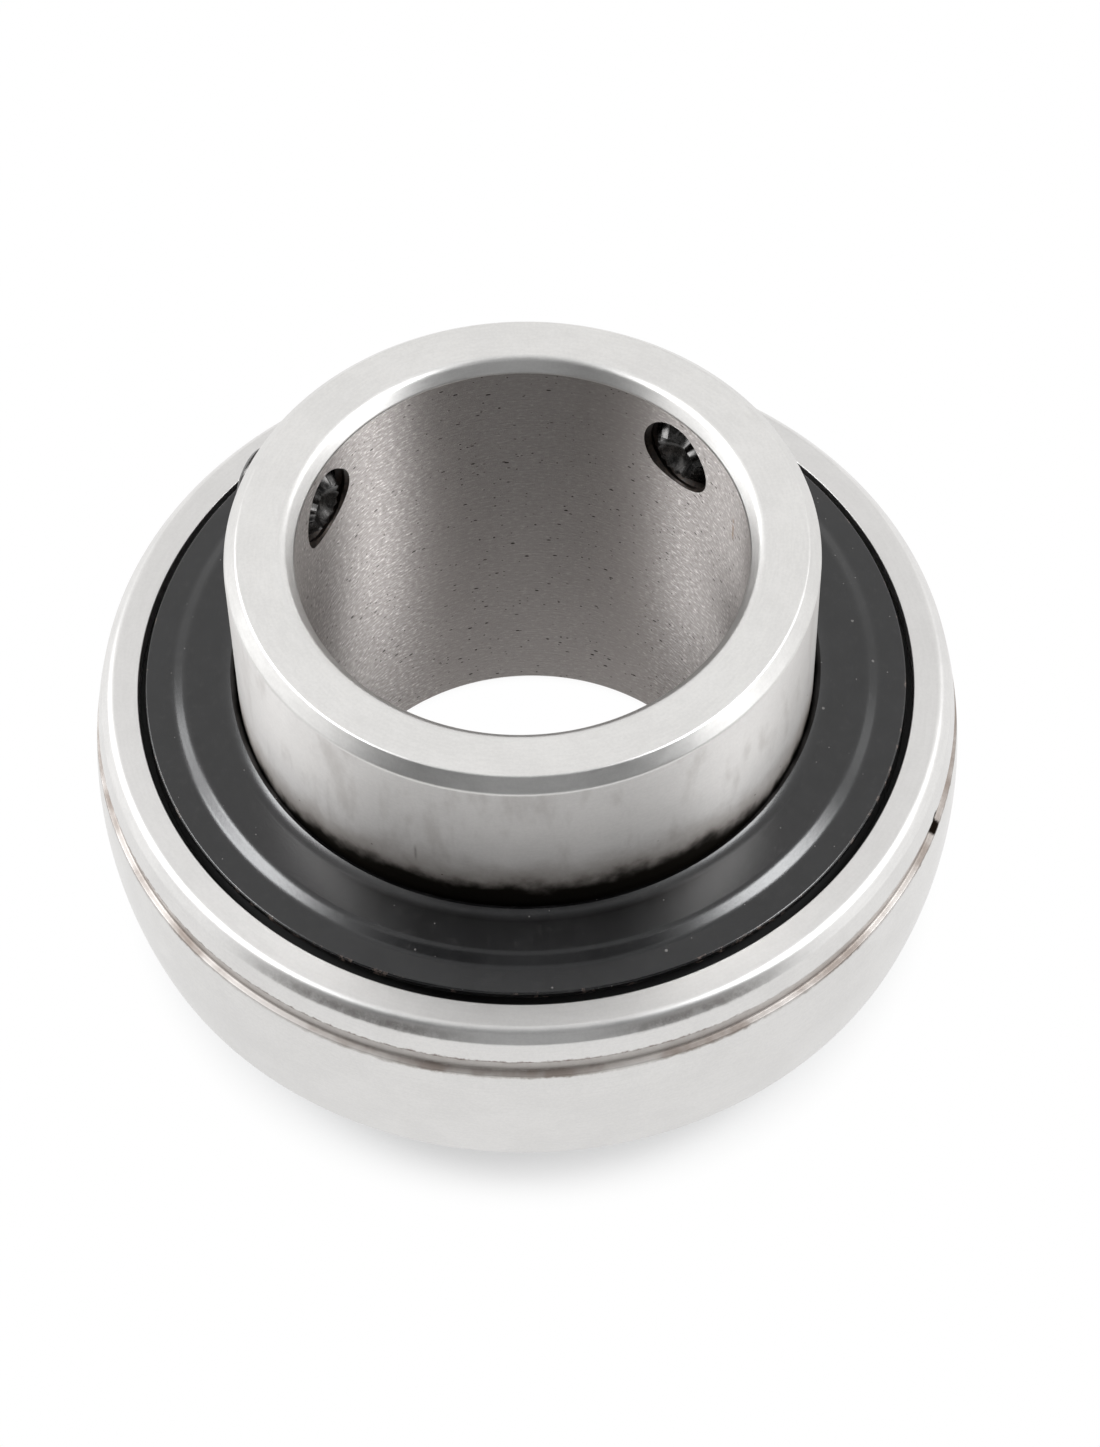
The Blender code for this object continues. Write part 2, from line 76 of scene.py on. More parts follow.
# Lubrication groove and holes
LUBE_HEIGHT = 6.3 * MM
LUBE_WIDTH = 1.8 * MM
LUBE_DEPTH = 0.4 * MM
LUBE_EDGE_ROUND = 0.1 * MM
LUBE_FLOOR_ROUND = 0.22 * MM
LUBE_WALL_LEAN = 0.1 * MM
LUBE_SPHERE_GAP = 0.25 * MM
LUBE_HOLE_RADIUS = 0.75 * MM
LUBE_HOLE_ANGLES = (radians(-21.5), radians(158.5))
LUBE_CUTTER_PLACE = 37.0 * MM
LUBE_CUTTER_HALF = 4.0 * MM
GROOVE_MM_PER_DEGREE = 0.69

# Edges of the inner ring
UPPER_BORE_CHAMFER = 1.15 * MM
LOWER_BORE_CHAMFER = 1.45 * MM
BORE_CHAMFER_REACH = 1.0 * MM
BORE_CHAMFER_FOOT_ROUND = 0.5 * MM
BORE_CHAMFER_FACE_ROUND = 1.0 * MM
RIM_CHAMFER_REACH = 1.1 * MM
RIM_CHAMFER_HEIGHT = 1.2 * MM
RIM_FACE_ROUND = 0.35 * MM
RIM_WALL_ROUND = 0.6 * MM

# Set screws and their threaded holes
SCREW_ANGLES = (radians(45.1), radians(152.6))
SCREW_HEIGHT = 23.9 * MM
SCREW_CENTRE_RADIUS = 24.6 * MM
SCREW_LENGTH = 6.0 * MM
SCREW_POINT_REACH = 1.8 * MM
SCREW_RADIUS = 3.55 * MM
SCREW_HOLE_RADIUS = 3.65 * MM
THREAD_PITCH = 1.0 * MM
THREAD_DEPTH = 0.38 * MM
THREAD_FLANK = 2.3
THREAD_FLAT = 0.075
THREAD_CUTTER_PLACE = 23.2 * MM
THREAD_CUTTER_TURNS = 11

# Outer end of a set screw: its socket, its flat rim and the chamfer on its thread
SOCKET_HALF_FLATS = 2.0 * MM
SOCKET_DEPTH = 3.0 * MM
SOCKET_DRILL_POINT = 0.5 * MM
SOCKET_EDGE_FOOT = 0.35 * MM
SOCKET_EDGE_TOP = 0.2 * MM
SOCKET_EDGE_WIDTH = 0.05 * MM
HEAD_FLAT_RADII = (2.45 * MM, 2.65 * MM)
HEAD_ROUND_RADIUS = 2.8 * MM
HEAD_ROUND_DROP = 0.06 * MM
HEAD_THREAD_DROP = 0.4 * MM
HEAD_CHAMFER = 0.75 * MM
HEAD_CHAMFER_SLOPE = 0.95

# Knurled cup point of a set screw, with heights above its tip
KNURLS = 14
KNURL_DEPTH = 0.36 * MM
KNURL_ROWS = 8
KNURL_START = 0.1
KNURL_RISE = 6
KNURL_LEAN = 0.4
POINT_THREAD_FOOT = 1.3 * MM
POINT_CHAMFER_SLOPE = 0.8
POINT_CHAMFER_SHARE = 0.4
CONE_TOP = 1.15 * MM
CONE_WIDE_RADIUS = 3.4 * MM
CONE_NARROW_RADIUS = 2.3 * MM
CUP_ROWS = ((1.9 * MM, 0.2 * MM), (1.65 * MM, 0.5 * MM), (1.2 * MM, 0.95 * MM), (0.6 * MM, 1.3 * MM))
CUP_DEPTH = 1.4 * MM

# Slingers, the black pressed discs
SLINGER_THICKNESS = 0.8 * MM
SLINGER_FIT = 0.1 * MM
SLINGER_TOP = 12.4 * MM
SLINGER_SLEEVE_FOOT = 9.52 * MM
SLINGER_BEND = 0.6 * MM
SLINGER_BEND_STEPS = 8
SLINGER_BEND_REST = 0.5
SLINGER_LIP_START = 0.22 * MM
SLINGER_LIP_DROP = 0.02 * MM
SLINGER_LIP_FOOT = 28.15 * MM
SLINGER_RIM_TOP = 11.0 * MM
SLINGER_RIM_GAP = 0.72 * MM
SLINGER_RIM_WIDTH = 2.5 * MM
SLINGER_RIM_ROUND = 0.2 * MM
SLINGER_STEP_WIDTH = 1.1 * MM
SLINGER_STEP_HEIGHT = 0.55 * MM
SLINGER_STEP_ROUND = 1.7 * MM
SLINGER_STEP_UNDERSIDE_ROUND = 0.3 * MM
SLINGER_RIM_SLOPE = 0.32 * MM
SLINGER_DISC_SLOPE = 0.22 * MM
SLINGER_SLEEVE_BEND = 0.15 * MM
SLINGER_SLEEVE_ROUND = 0.1 * MM

# Seals
SEAL_FIT = 0.12 * MM
SEAL_LIP_GAP = 0.2 * MM
SEAL_LIP_WIDTH = 1.8 * MM
SEAL_LIP_TOP = 8.92 * MM
SEAL_LIP_FOOT = 8.67 * MM
SEAL_PLATE_TOP = 8.42 * MM
SEAL_PLATE_FOOT = 7.62 * MM
SEAL_PLATE_ROUND = 0.4 * MM
SEAL_BEAD_WIDTH = 1.2 * MM
SEAL_BEAD_TOP = 8.58 * MM
SEAL_BEAD_FOOT = 7.42 * MM
SEAL_BEAD_ROUND = 0.15 * MM
SEAL_CORNER_ROUND = 0.05 * MM

# Fineness
RING_SEGMENTS = 256
BALL_SEGMENTS = 64
BALL_STEPS = 32
HOLE_SEGMENTS = 40
SCREW_SEGMENTS = 160
THREAD_CUTTER_SEGMENTS = 64
THREAD_ROWS = 8
FILLET_STEPS = 6
ARC_STEPS = 20
UPPER_SPHERE_STEPS = 4
SHARP_ANGLE = radians(32.0)

# Material slots of the rings, and how far a facet of a turned wall may lie from its radius
HOLE_SLOT = 1
BORE_SLOT = 1
THREAD_SLOT = 2
WALL_SLOT = 3
BORE_ALLOWANCE = 0.02 * MM
WALL_ALLOWANCE = 0.03 * MM

# Colours of the metals, the rubber, the dirt on them, and the painted shade and glints. Where there are
# two, they run into each other.
OUTER_STEEL = (0.74, 0.73, 0.718)
INNER_STEEL = (0.70, 0.69, 0.675)
WALL_STEEL = (0.68, 0.665, 0.652)
BORE_STEEL_AND_SHADE = (0.385, 0.359, 0.345)
CAGE_STEEL = (0.55, 0.53, 0.50)
BALL_STEELS = ((0.70, 0.70, 0.71), (0.80, 0.80, 0.81))
OXIDE_BLACKS = ((0.035, 0.034, 0.033), (0.08, 0.077, 0.075))
# Painted shade inside the threaded holes and the lubrication holes
HOLE_SHADE_BLACKS = ((0.012, 0.01, 0.009), (0.05, 0.036, 0.028))
SLINGER_BLACKS = ((0.003, 0.003, 0.0033), (0.007, 0.007, 0.0075))
RUBBER_BLACKS = ((0.008, 0.008, 0.008), (0.02, 0.02, 0.02))
GROOVE_FILM = (0.36, 0.32, 0.29)
GROOVE_LINE = (0.15, 0.10, 0.08)
GROOVE_GREASE = (0.27, 0.23, 0.205)
LUBE_HOLE_DIRT = (0.02, 0.014, 0.01)
DULL_FACE = (0.45, 0.44, 0.43)
CHAMFER_SMEAR = (0.22, 0.20, 0.19)
WALL_SMEAR = (0.34, 0.31, 0.29)
WALL_PAINTED_SHADE = (0.40, 0.385, 0.37)
WALL_GRIME_AND_SHADE = (0.20, 0.165, 0.14)
WALL_FOOT_DIRT_AND_SHADE = (0.012, 0.01, 0.008)
WALL_SCUFF = (0.16, 0.14, 0.13)
WALL_CRUMB = (0.09, 0.06, 0.045)
# Painted shade and painted glints of the lamps in the bore
BORE_GLINT_SHADE = (0.2, 0.182, 0.17)
BORE_PAINTED_GLINT = (0.8, 0.77, 0.75)
BORE_RUST = (0.22, 0.12, 0.05)
BORE_PIT = (0.035, 0.028, 0.024)
SLINGER_DUST = (0.42, 0.40, 0.385)
SLINGER_WORN = (0.36, 0.27, 0.23)

# Grain of the steels, and how much of a speck is at full strength
MARKS_AROUND = 14.0
MARKS_PITCH = 0.16
MARKS_RADIUS_SHARE = 0.7
MARKS_HEIGHT_SHARE = 1.3
STEEL_DARK = 0.94
STEEL_LIGHT = 1.04
SPECK_CORE = 0.6

# Where the dirt and the painted shade lie, as heights in millimetres above the ball plane and angles in
# degrees from +X
GROOVE_LINE_ANGLES = (-170.0, -62.0)
SMEAR_HEIGHTS = (9.65, 10.4)
LEFT_SMEAR_ANGLES = (-126.0, -100.0)
RIGHT_SMEAR_ANGLES = (-78.0, -58.0)
WALL_FRONT_ANGLES = (-132.0, -48.0)
WALL_GRIME_AND_SHADE_HEIGHTS = (11.5, 17.5)
WALL_FOOT_DIRT_AND_SHADE_HEIGHTS = (11.3, 13.6)
WALL_SCUFF_ANGLES = (-111.9, -111.5)
WALL_SCUFF_HEIGHTS = (17.0, 18.8)
WALL_CRUMB_HEIGHTS = (15.0, 20.0)
BORE_RUST_ANGLES = (18.7, 19.6)
BORE_RUST_HEIGHTS = (21.4, 24.2)

# The middle of a change, and where it starts and ends on both sides of it, in degrees: painted shade on
# the wall's sides and painted glints in the bore
WALL_FRONT = -90.0
WALL_SIDES = (52.0, 80.0)
BORE_BACK = 86.0
BORE_GLINTS = (24.0, 44.0)

# The radii between which the slinger's edge is worn more and more, in millimetres
SLINGER_WORN_RADII = (34.45, 34.6)

# Camera, fitted to the circles in the photograph
CAMERA_PLACE = (0.002136, -0.218101, 0.329508)
CAMERA_TURN = (radians(35.2865), radians(0.6020), radians(-0.8505))
CAMERA_LENS = 100.97
CAMERA_SENSOR = 36.0
CAMERA_CLIP_START = 0.01

# Floor, world and lights
FLOOR_GREY = 0.95
FLOOR_ROUGHNESS = 0.9
FLOOR_HALF_SIZE = 4.0
FLOOR_GLOW = 0.56
FLOOR_SHADE_START = 33.0 * MM
FLOOR_SHADE_END = 40.0 * MM
WORLD_STRENGTH = 0.25
CEILING_RADIUS = 0.28
CEILING_HEIGHT = 1.06
CEILING_SEGMENTS = 24
CEILING_GREY = 0.7
CLOTH_ROUGHNESS = 1.0
CURTAIN_PROFILE = ((0.03, 1.0), (0.5, 1.0), (0.85, 0.75), (1.0, 0.5), (1.05, 0.25))
CURTAIN_STEPS = 12
LAMP_DISTANCE = 1.0
LAMP_COLOUR = (0.97, 0.985, 1.0)

# Each curtain's name, azimuth and half angle in degrees, and grey
CURTAINS = (
    ("curtain_left", -130.0, 18.0, 0.1),
    ("curtain_middle", -90.0, 22.0, 0.4),
    ("curtain_right", -51.0, 17.0, 0.1),
)

# Each lamp's name, azimuth and elevation in degrees, width, height and radiance
LAMPS = (
    ("soft_box_left", 175.0, 49.0, 0.44, 0.26, 13.5),
    ("soft_box_right", -5.0, 53.0, 0.36, 0.26, 15.5),
    ("soft_box_left_low", 160.0, 28.0, 0.38, 0.28, 6.5),
    ("soft_box_right_low", -17.0, 37.0, 0.32, 0.22, 8.0),
    ("soft_box_back_right", 24.0, 34.0, 0.24, 0.2, 1.5),
)


# Outlines. A corner is (radius, height), and a third number is the radius of its round.

def arc(centre, radius, start, end, steps=ARC_STEPS):
    """Points from the angle start to end, both included, about a centre given as (radius, height)."""
    angles = (start + (end - start) * i / steps for i in range(steps + 1))
    return [(centre[0] + radius * cos(a), centre[1] + radius * sin(a)) for a in angles]


def mirrored(profile):
    """The outline upside down, with its points in the same order."""
    return [(point[0], -point[1], *point[2:]) for point in profile]


def flipped(profile):
    """The outline upside down, with its points in the opposite order."""
    return mirrored(reversed(profile))


def filleted(corners):
    """Rounds each corner of a closed outline that has a third number, its radius."""
    points = []
    count = len(corners)
    for i, entry in enumerate(corners):
        corner = Vector(entry[:2])
        if len(entry) < 3:
            points.append(tuple(corner))
            continue
        before = (Vector(corners[i - 1][:2]) - corner).normalized()
        after = (Vector(corners[(i + 1) % count][:2]) - corner).normalized()
        half = before.angle(after) / 2
        centre = corner + (before + after).normalized() * entry[2] / sin(half)
        start = corner + before * entry[2] / tan(half) - centre
        end = corner + after * entry[2] / tan(half) - centre
        for k in range(FILLET_STEPS + 1):
            step = start.lerp(end, k / FILLET_STEPS).normalized() * entry[2]
            points.append(tuple(centre + step))
    return points


def sphere_radius(height):
    """The radius of the outer ring's sphere at a height."""
    return sqrt(SPHERE_RADIUS**2 - height**2)


def sphere_arc(top, bottom, steps):
    """The sphere's outline between two heights."""
    return arc((0.0, 0.0), SPHERE_RADIUS, asin(top / SPHERE_RADIUS), asin(bottom / SPHERE_RADIUS), steps)


# Mesh helpers

def new_piece(name, shape):
    """Turns a bmesh into an object with smooth rounds and crisp corners."""
    bmesh.ops.recalc_face_normals(shape, faces=shape.faces)
    mesh = bpy.data.meshes.new(name)
    shape.to_mesh(mesh)
    shape.free()
    mesh.shade_smooth()
    mesh.set_sharp_from_angle(angle=SHARP_ANGLE)
    piece = bpy.data.objects.new(name, mesh)
    bpy.context.scene.collection.objects.link(piece)
    return piece


def skin(shape, rings, closed=False):
    """Joins rings of corners with quads. A ring of one corner becomes a fan."""
    pairs = list(zip(rings, rings[1:]))
    if closed:
        pairs.append((rings[-1], rings[0]))
    for this, after in pairs:
        count = max(len(this), len(after))
        for i in range(count):
            j = (i + 1) % count
            near = (this[i % len(this)], after[i % len(after)])
            far = (after[j % len(after)], this[j % len(this)])
            shape.faces.new(list(dict.fromkeys(near + far)))


def ring_of(shape, radius, height, segments):
    """A level circle of corners, or one corner where the radius is nothing."""
    if radius < TINY:
        return [shape.verts.new((0.0, 0.0, height))]
    turns = (tau * i / segments for i in range(segments))
    return [shape.verts.new((radius * cos(t), radius * sin(t), height)) for t in turns]


def turned(name, profile, segments=RING_SEGMENTS, closed=True, lift=BALL_PLANE):
    """A (radius, height) outline turned about Z."""
    shape = bmesh.new()
    rings = [ring_of(shape, radius, height + lift, segments) for radius, height in profile]
    skin(shape, rings, closed)
    return new_piece(name, shape)


def apply_modifiers(piece):
    """Replaces the mesh by what its modifiers make of it."""
    bpy.context.view_layer.update()
    graph = bpy.context.evaluated_depsgraph_get()
    mesh = bpy.data.meshes.new_from_object(piece.evaluated_get(graph))
    piece.modifiers.clear()
    piece.data = mesh
    mesh.shade_smooth()
    mesh.set_sharp_from_angle(angle=SHARP_ANGLE)


def cut(piece, cutters):
    """Takes the cutters out of a piece and removes them."""
    for cutter in cutters:
        boolean = piece.modifiers.new("Cut", "BOOLEAN")
        boolean.operation = "DIFFERENCE"
        boolean.object = cutter
    apply_modifiers(piece)
    for cutter in cutters:
        bpy.data.objects.remove(cutter, do_unlink=True)


def even_shading(piece):
    """Lets the large faces set the normals, so that flats stay flat up to their rounded edges."""
    weighted = piece.modifiers.new("Even shading", "WEIGHTED_NORMAL")
    weighted.keep_sharp = True
    weighted.mode = "FACE_AREA"


def point_outwards(piece, angle, radius, height):
    """Places a piece on a radial line, with its own +Z pointing away from the bearing's axis."""
    piece.location = (radius * cos(angle), radius * sin(angle), height + BALL_PLANE)
    piece.rotation_euler = (0.0, pi / 2, angle)


def thread_radius(crest, height, turn):
    """A V thread that winds once in a pitch. The crest and the root are a little flat."""
    phase = (height / THREAD_PITCH - turn / tau) % 1.0
    wave = min(1.0, max(0.0, THREAD_FLANK * abs(phase - 0.5) - THREAD_FLAT))
    return crest - THREAD_DEPTH * wave


def hexagon_radius(turn, half_flats):
    """The distance from a hexagon's centre to its edge in one direction."""
    return half_flats / cos((turn + pi / 6) % (pi / 3) - pi / 6)


# Pieces

def lube_groove():
    """The outline of the lubrication groove, from the top down."""
    top = LUBE_HEIGHT + LUBE_WIDTH / 2
    foot = LUBE_HEIGHT - LUBE_WIDTH / 2
    floor_radius = sphere_radius(LUBE_HEIGHT) - LUBE_DEPTH
    return [
        (sphere_radius(top), top, LUBE_EDGE_ROUND),
        (floor_radius, top - LUBE_WALL_LEAN, LUBE_FLOOR_ROUND),
        (floor_radius, foot + LUBE_WALL_LEAN, LUBE_FLOOR_ROUND),
        (sphere_radius(foot), foot, LUBE_EDGE_ROUND),
    ]


def outer_ring_profile():
    """Outside the sphere with its groove and two chamfers, and inside two seal seats and the race."""
    edge = FACE_HEIGHT - OUTER_CHAMFER_HEIGHT
    edge_radius = sphere_radius(edge)
    race_centre = OUTER_RACE_BOTTOM - RACE_RADIUS
    race_turn = acos((SHOULDER_RADIUS - race_centre) / RACE_RADIUS)
    chamfer = [
        (edge_radius - OUTER_CHAMFER_REACH, FACE_HEIGHT, OUTER_FACE_ROUND),
        (edge_radius, edge, OUTER_SPHERE_ROUND),
    ]
    seat = [
        (RECESS_RADIUS, FACE_HEIGHT, RECESS_ROUND),
        (RECESS_RADIUS, SEAL_GROOVE_TOP),
        (SEAL_GROOVE_RADIUS, SEAL_GROOVE_TOP, SEAL_GROOVE_ROUND),
        (SEAL_GROOVE_RADIUS, SEAL_GROOVE_FOOT, SEAL_GROOVE_ROUND),
        (SHOULDER_RADIUS, SEAL_GROOVE_FOOT, SHOULDER_ROUND),
    ]
    groove = lube_groove()
    profile = list(chamfer)
    profile += sphere_arc(edge - SPHERE_START, groove[0][1] + LUBE_SPHERE_GAP, UPPER_SPHERE_STEPS)
    profile += groove
    profile += sphere_arc(groove[-1][1] - LUBE_SPHERE_GAP, 0.0, ARC_STEPS // 2)
    profile += sphere_arc(0.0, -edge + SPHERE_START, ARC_STEPS)[1:]
    profile += flipped(chamfer)
    profile += mirrored(seat)
    profile += arc((race_centre, 0.0), RACE_RADIUS, -race_turn, race_turn)
    profile += list(reversed(seat))
    return filleted(profile)


def lube_cutter(angle):
    """A rod that leaves a lubrication hole with dark walls, a painted shade inside the hole."""
    outline = [
        (0.0, LUBE_CUTTER_HALF),
        (LUBE_HOLE_RADIUS, LUBE_CUTTER_HALF),
        (LUBE_HOLE_RADIUS, -LUBE_CUTTER_HALF),
        (0.0, -LUBE_CUTTER_HALF),
    ]
    rod = turned("hole", outline, HOLE_SEGMENTS, False, 0.0)
    for face in rod.data.polygons:
        face.material_index = HOLE_SLOT
    point_outwards(rod, angle, LUBE_CUTTER_PLACE, LUBE_HEIGHT)
    return rod


def build_outer_ring():
    ring = turned("outer_ring_fine", outer_ring_profile())
    for material in (outer_ring_material(), thread_material()):
        ring.data.materials.append(material)
    cut(ring, [lube_cutter(angle) for angle in LUBE_HOLE_ANGLES])
    even_shading(ring)
    return ring


def inner_ring_end(length, bore_chamfer):
    """The outline of one end of the inner ring, from the bore outwards."""
    return [
        (BORE_RADIUS, length - bore_chamfer, BORE_CHAMFER_FOOT_ROUND),
        (BORE_RADIUS + BORE_CHAMFER_REACH, length, BORE_CHAMFER_FACE_ROUND),
        (INNER_RADIUS - RIM_CHAMFER_REACH, length, RIM_FACE_ROUND),
        (INNER_RADIUS, length - RIM_CHAMFER_HEIGHT, RIM_WALL_ROUND),
    ]


def build_inner_ring():
    race_centre = INNER_RACE_BOTTOM + RACE_RADIUS
    race_turn = acos((race_centre - INNER_RADIUS) / RACE_RADIUS)
    profile = inner_ring_end(LONG_SIDE, UPPER_BORE_CHAMFER)
    profile += arc((race_centre, 0.0), RACE_RADIUS, pi - race_turn, pi + race_turn)
    profile += flipped(inner_ring_end(SHORT_SIDE, LOWER_BORE_CHAMFER))
    ring = turned("inner_ring_fine", filleted(profile))
    for material in (inner_ring_material(), bore_material(), thread_material(), wall_material()):
        ring.data.materials.append(material)
    cut(ring, [threaded_cutter(angle) for angle in SCREW_ANGLES])
    mark_walls(ring)
    even_shading(ring)
    return ring


def mark_walls(ring):
    """The bore and the outer wall have finishes of their own, which also carry painted shade."""
    for face in ring.data.polygons:
        if face.material_index:
            continue
        reach = face.center.xy.length
        if reach < BORE_RADIUS + BORE_ALLOWANCE:
            face.material_index = BORE_SLOT
        elif reach > INNER_RADIUS - WALL_ALLOWANCE:
            face.material_index = WALL_SLOT


def threaded_cutter(angle):
    """A rod with an outside thread, which leaves an inside thread in the ring's wall."""
    shape = bmesh.new()
    low = -THREAD_CUTTER_TURNS * THREAD_PITCH / 2
    rings = [ring_of(shape, 0.0, low, THREAD_CUTTER_SEGMENTS)]
    for row in range(THREAD_CUTTER_TURNS * THREAD_ROWS + 1):
        height = low + row * THREAD_PITCH / THREAD_ROWS
        ring = []
        for i in range(THREAD_CUTTER_SEGMENTS):
            turn = tau * i / THREAD_CUTTER_SEGMENTS
            radius = thread_radius(SCREW_HOLE_RADIUS + THREAD_DEPTH, height, turn)
            ring.append(shape.verts.new((radius * cos(turn), radius * sin(turn), height)))
        rings.append(ring)
    rings.append(ring_of(shape, 0.0, -low, THREAD_CUTTER_SEGMENTS))
    skin(shape, rings)
    for face in shape.faces:
        face.material_index = THREAD_SLOT
    rod = new_piece("threaded_rod", shape)
    point_outwards(rod, angle, THREAD_CUTTER_PLACE, SCREW_HEIGHT)
    return rod


def build_set_screw(number, angle):
    """A threaded rod with a hexagon socket outside and a knurled cup point inside."""
    shape = bmesh.new()
    head = SCREW_LENGTH / 2
    tip = -head - SCREW_POINT_REACH
    turns = [tau * i / SCREW_SEGMENTS for i in range(SCREW_SEGMENTS)]

    def ring(radius_at, height_at):
        corners = []
        for turn in turns:
            radius = radius_at(turn)
            corners.append(shape.verts.new((radius * cos(turn), radius * sin(turn), height_at(turn))))
        return corners

    def plain(radius, height):
        return ring(lambda turn: radius, lambda turn: height)

    def hexagon(half_flats, height):
        return ring(lambda turn: hexagon_radius(turn, half_flats), lambda turn: height)

    def socket():
        floor = head - SOCKET_DEPTH
        return [
            [shape.verts.new((0.0, 0.0, floor - SOCKET_DRILL_POINT))],
            hexagon(SOCKET_HALF_FLATS, floor),
            hexagon(SOCKET_HALF_FLATS, head - SOCKET_EDGE_FOOT),
            hexagon(SOCKET_HALF_FLATS + SOCKET_EDGE_WIDTH, head - SOCKET_EDGE_TOP),
            *(plain(radius, head) for radius in HEAD_FLAT_RADII),
            plain(HEAD_ROUND_RADIUS, head - HEAD_ROUND_DROP),
        ]

    def thread():
        rings = []
        top = head - HEAD_THREAD_DROP
        foot = tip + POINT_THREAD_FOOT
        head_edge = SCREW_RADIUS - HEAD_CHAMFER
        point_edge = SCREW_RADIUS - THREAD_DEPTH * POINT_CHAMFER_SHARE
        rows = ceil((top - foot) / THREAD_PITCH * THREAD_ROWS)
        for row in range(rows + 1):
            height = top + (foot - top) * row / rows
            start = head_edge + (head - height) * HEAD_CHAMFER_SLOPE
            end = point_edge + (height - foot) * POINT_CHAMFER_SLOPE
            limit = min(start, end)
            rings.append(ring(
                lambda turn: min(limit, thread_radius(SCREW_RADIUS, height, turn)),
                lambda turn: height,
            ))
        return rings

    def valley(turn):
        """0 on the crest of a knurl and 1 between two knurls."""
        return 1.0 - abs((turn * KNURLS / tau) % 1.0 - 0.5) * 2

    def knurled_cone():
        rings = []
        top = tip + CONE_TOP
        for row in range(KNURL_ROWS + 1):
            share = row / KNURL_ROWS
            radius = CONE_WIDE_RADIUS + (CONE_NARROW_RADIUS - CONE_WIDE_RADIUS) * share
            depth = KNURL_DEPTH * min(1.0, KNURL_RISE * share + KNURL_START)
            height = top + (tip - top) * share
            rings.append(ring(
                lambda turn: radius - depth * valley(turn),
                lambda turn: height + KNURL_LEAN * depth * valley(turn),
            ))
        return rings

    def cup():
        rings = [plain(radius, height + tip) for radius, height in CUP_ROWS]
        return rings + [[shape.verts.new((0.0, 0.0, CUP_DEPTH + tip))]]

    skin(shape, socket() + thread() + knurled_cone() + cup())
    screw = new_piece(f"set_screw_{number}_fine", shape)
    point_outwards(screw, angle, SCREW_CENTRE_RADIUS, SCREW_HEIGHT)
    return screw


def slinger_profile():
    """A sleeve on the inner ring, bent outwards into a dished disc with a soft step and a flat rim."""
    bore = INNER_RADIUS + SLINGER_FIT
    sleeve = bore + SLINGER_THICKNESS
    rim = RECESS_RADIUS - SLINGER_RIM_GAP
    step_foot = rim - SLINGER_RIM_WIDTH
    step_head = step_foot - SLINGER_STEP_WIDTH
    foot = SLINGER_RIM_TOP + SLINGER_RIM_SLOPE
    head = foot + SLINGER_STEP_HEIGHT
    disc = head + SLINGER_DISC_SLOPE
    bend_centre = (bore + SLINGER_BEND, SLINGER_TOP - SLINGER_BEND)
    bend = arc(bend_centre, SLINGER_BEND, pi, pi / 2 + SLINGER_BEND_REST, SLINGER_BEND_STEPS)
    lip_start = bend[-1][0] + SLINGER_LIP_START
    lip_rise = SLINGER_TOP - SLINGER_LIP_DROP - disc
    lip_reach = SLINGER_LIP_FOOT - lip_start
    shares = [i / SLINGER_BEND_STEPS for i in range(SLINGER_BEND_STEPS + 1)]
    lip = [(lip_start + lip_reach * s, disc + lip_rise * (1 - s) ** 2) for s in shares]
    rest = [
        (step_head, head, SLINGER_STEP_ROUND),
        (step_foot, foot, SLINGER_STEP_ROUND),
        (rim, SLINGER_RIM_TOP, SLINGER_RIM_ROUND),
        (rim, SLINGER_RIM_TOP - SLINGER_THICKNESS, SLINGER_RIM_ROUND),
        (step_foot, foot - SLINGER_THICKNESS, SLINGER_STEP_UNDERSIDE_ROUND),
        (step_head, head - SLINGER_THICKNESS, SLINGER_STEP_UNDERSIDE_ROUND),
        (sleeve, disc - SLINGER_THICKNESS, SLINGER_SLEEVE_BEND),
        (sleeve, SLINGER_SLEEVE_FOOT, SLINGER_SLEEVE_ROUND),
        (bore, SLINGER_SLEEVE_FOOT, SLINGER_SLEEVE_ROUND),
    ]
    return filleted(bend + lip + rest)


def seal_profile():
    """A bead in the seal groove, a plate and a slanting lip towards the inner ring."""
    rim = SEAL_GROOVE_RADIUS - SEAL_FIT
    bead = rim - SEAL_BEAD_WIDTH
    lip = INNER_RADIUS + SEAL_LIP_GAP
    plate = lip + SEAL_LIP_WIDTH
    return filleted([
        (lip, SEAL_LIP_TOP),
        (plate, SEAL_PLATE_TOP, SEAL_PLATE_ROUND),
        (bead, SEAL_PLATE_TOP, SEAL_CORNER_ROUND),
        (bead, SEAL_BEAD_TOP, SEAL_CORNER_ROUND),
        (rim, SEAL_BEAD_TOP, SEAL_BEAD_ROUND),
        (rim, SEAL_BEAD_FOOT, SEAL_BEAD_ROUND),
        (bead, SEAL_BEAD_FOOT, SEAL_CORNER_ROUND),
        (bead, SEAL_PLATE_FOOT, SEAL_CORNER_ROUND),
        (plate, SEAL_PLATE_FOOT, SEAL_PLATE_ROUND),
        (lip, SEAL_LIP_FOOT, SEAL_CORNER_ROUND),
    ])


def build_ball(number):
    angle = tau * (number - 1) / BALL_COUNT
    outline = arc((0.0, 0.0), BALL_RADIUS, pi / 2, -pi / 2, BALL_STEPS)
    ball = turned(f"ball_{number}_fine", outline, BALL_SEGMENTS, False, 0.0)
    ball.location = (PITCH_RADIUS * cos(angle), PITCH_RADIUS * sin(angle), BALL_PLANE)
    return ball


# Material helpers. A value given to them is a number or another node's output.

def feed(tree, value, socket):
    if isinstance(value, bpy.types.NodeSocket):
        tree.links.new(value, socket)
    else:
        socket.default_value = value


